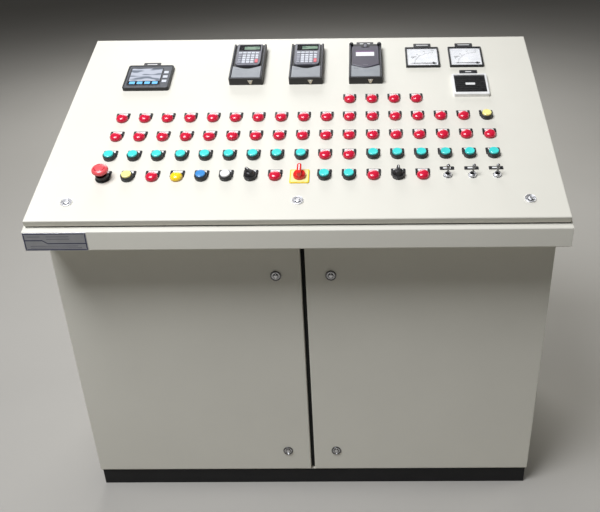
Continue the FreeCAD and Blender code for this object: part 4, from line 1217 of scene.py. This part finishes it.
def make_interior():
    """Slotted wiring ducts, a rail of circuit breakers and terminals, and cable glands."""
    plate_low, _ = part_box("mounting_plate")
    into = front(plate_low.y / MM)
    ducts = Shape()
    for y in (140, 300, 700):
        at = moved(0, y)
        ducts.slab(1080, 38, 1, 0, 52, 1, 0, at)
        ducts.slab(1082, 42, 2, 52, 56, 1.5, 0, at)
        # The duct slots are dark tiles: painted shade in the openings.
        for i in range(88):
            ducts.tile(4, 39.4, 0.5, 8, 44, 0.3, 1, at @ moved(-530 + 12.2 * i))
    ducts.make("wiring_ducts", into, [duct_grey, black], "cabinet")
    rail = Shape()
    at = moved(0, 220)
    rail.slab(1060, 35, 0.5, 0, 7.5, 0.5, 0, at)
    for i in range(18):
        breaker = at @ moved(-500 + 18.2 * i)
        rail.slab(17.6, 80, 1, 7, 44, 1, 1, breaker)
        rail.slab(17.6, 44, 1, 43, 68, 1.5, 1, breaker)
        rail.slab(8, 14, 1.5, 66, 78, 1.5, 2, breaker @ moved(0, 4))
    for i in range(60):
        block = at @ moved(-130 + 6.3 * i)
        rail.slab(5.8, 48, 0.6, 7, 38, 0.8, 3 if i % 12 else 4, block)
        for end in SIDES:
            rail.lathe([(0, 38), (2, 38), (2, 38.6), (0, 38.7)], 0, block @ moved(0, end * 15), 12)
    for i in range(5):
        relay = at @ moved(300 + 46 * i)
        rail.slab(43, 78, 2, 7, 72, 2, 2, relay)
        rail.slab(30, 30, 2, 71, 80, 2, 1, relay)
    looks = [zinc_plate, white_plastic, black, duct_grey, contact_green]
    rail.make("switchgear_rail", into, looks, "cabinet")
    glands = Shape()
    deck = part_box("floor_pan")[1].z / MM
    for step in (-1.5, -0.5, 0.5, 1.5):
        at = moved(step * 120, BACK_Y - 150, deck)
        glands.lathe([(16.4, -2), (16.4, 0), (23, 0), (23, 6), (16.4, 6)], 0, at, 6)
        glands.lathe([(11, 6), (18.5, 6), (19, 12), (17, 22), (13, 25), (11, 25)], 0, at, 32)
    glands.make("cable_glands", FLOOR, [black], "cabinet")


# Light, floor and camera


def make_studio():
    scene.view_settings.view_transform = "Standard"
    world = bpy.data.worlds.new("studio")
    scene.world = world
    world.use_nodes = True
    sky = world.node_tree.nodes["Background"]
    sky.inputs["Color"].default_value = (1.0, 0.98, 0.94, 1)
    sky.inputs["Strength"].default_value = 0.06
    lights = [
        ("key", (-1.0, -1.3, 3.6), (-0.1, 0.0, 0.9), 1.8, 128, (0.97, 0.985, 1.04)),
        ("side", (3.3, 0.75, 1.5), (0, 0.1, 0.5), 2.0, 26, (1.0, 0.99, 0.96)),
        ("rear", (-0.6, 3.7, 3.0), (0, 2.2, 0), 3.0, 120, (1.0, 1.0, 1.0)),
    ]
    for name, spot, aim, size, power, colour in lights:
        lamp_data = bpy.data.lights.new(name, "AREA")
        lamp_data.shape = "DISK"
        lamp_data.size = size
        lamp_data.energy = power
        lamp_data.color = colour
        lamp_obj = bpy.data.objects.new(name, lamp_data)
        lamp_obj.location = spot
        aim_line = Vector(aim) - Vector(spot)
        lamp_obj.rotation_euler = aim_line.to_track_quat("-Z", "Y").to_euler()
        scene.collection.objects.link(lamp_obj)
    ground = bpy.data.meshes.new("studio_floor")
    reach = 14
    corners = [(-reach, -reach, 0), (reach, -reach, 0), (reach, reach, 0), (-reach, reach, 0)]
    ground.from_pydata(corners, [], [(0, 1, 2, 3)])
    floor_paint = Paint("studio_floor")
    stops = [(0.3, (0.40, 0.385, 0.35)), (0.7, (0.43, 0.415, 0.38))]
    floor_paint.drive("Base Color", floor_paint.ramp(floor_paint.noise(0.6, 3), stops))
    floor_paint.set(Roughness=0.75)
    ground.materials.append(floor_paint.material)
    floor_obj = bpy.data.objects.new("studio_floor", ground)
    floor_obj.location.z = -0.0005
    scene.collection.objects.link(floor_obj)


def make_camera():
    """Standing height, a little to the right of the middle, looking down at the lid.

    Its place is measured in millimetres from the middle of the lid's front edge.
    """
    yaw, pitch, roll = math.radians(-0.66), math.radians(28.75), math.radians(-0.74)
    place = Vector((153.4, EDGE_Y - 1556.3, EDGE_Z + 724.6)) * MM
    ahead = Vector((math.sin(yaw), math.cos(yaw), 0))
    right = Vector((math.cos(yaw), -math.sin(yaw), 0))
    above = Vector((0, 0, 1))
    forward = ahead * math.cos(pitch) - above * math.sin(pitch)
    up = above * math.cos(pitch) + ahead * math.sin(pitch)
    side = right * math.cos(roll) + up * math.sin(roll)
    up = up * math.cos(roll) - right * math.sin(roll)
    data = bpy.data.cameras.new("camera")
    data.lens = 44.675
    data.sensor_width = 36
    data.shift_x, data.shift_y = -0.0929, 0.0202
    camera = bpy.data.objects.new("camera", data)
    turn = Matrix((side, up, -forward)).transposed()
    camera.matrix_world = Matrix.Translation(place) @ turn.to_4x4()
    scene.collection.objects.link(camera)
    scene.camera = camera


make_cabinet()
make_tray()
make_nameplate()
make_door("left", -1)
make_door("right", 1)
make_gap_shade()
make_locks()
make_lid()
make_lamps()
make_legends()
make_device_bodies()
make_wiring()
make_buttons()
make_stop()
make_selectors()
make_cam_switch()
make_toggles()
make_hmi()
make_keypads()
make_meters()
make_hooter()
make_rear_details()
make_drives()
make_interior()
make_studio()
make_camera()
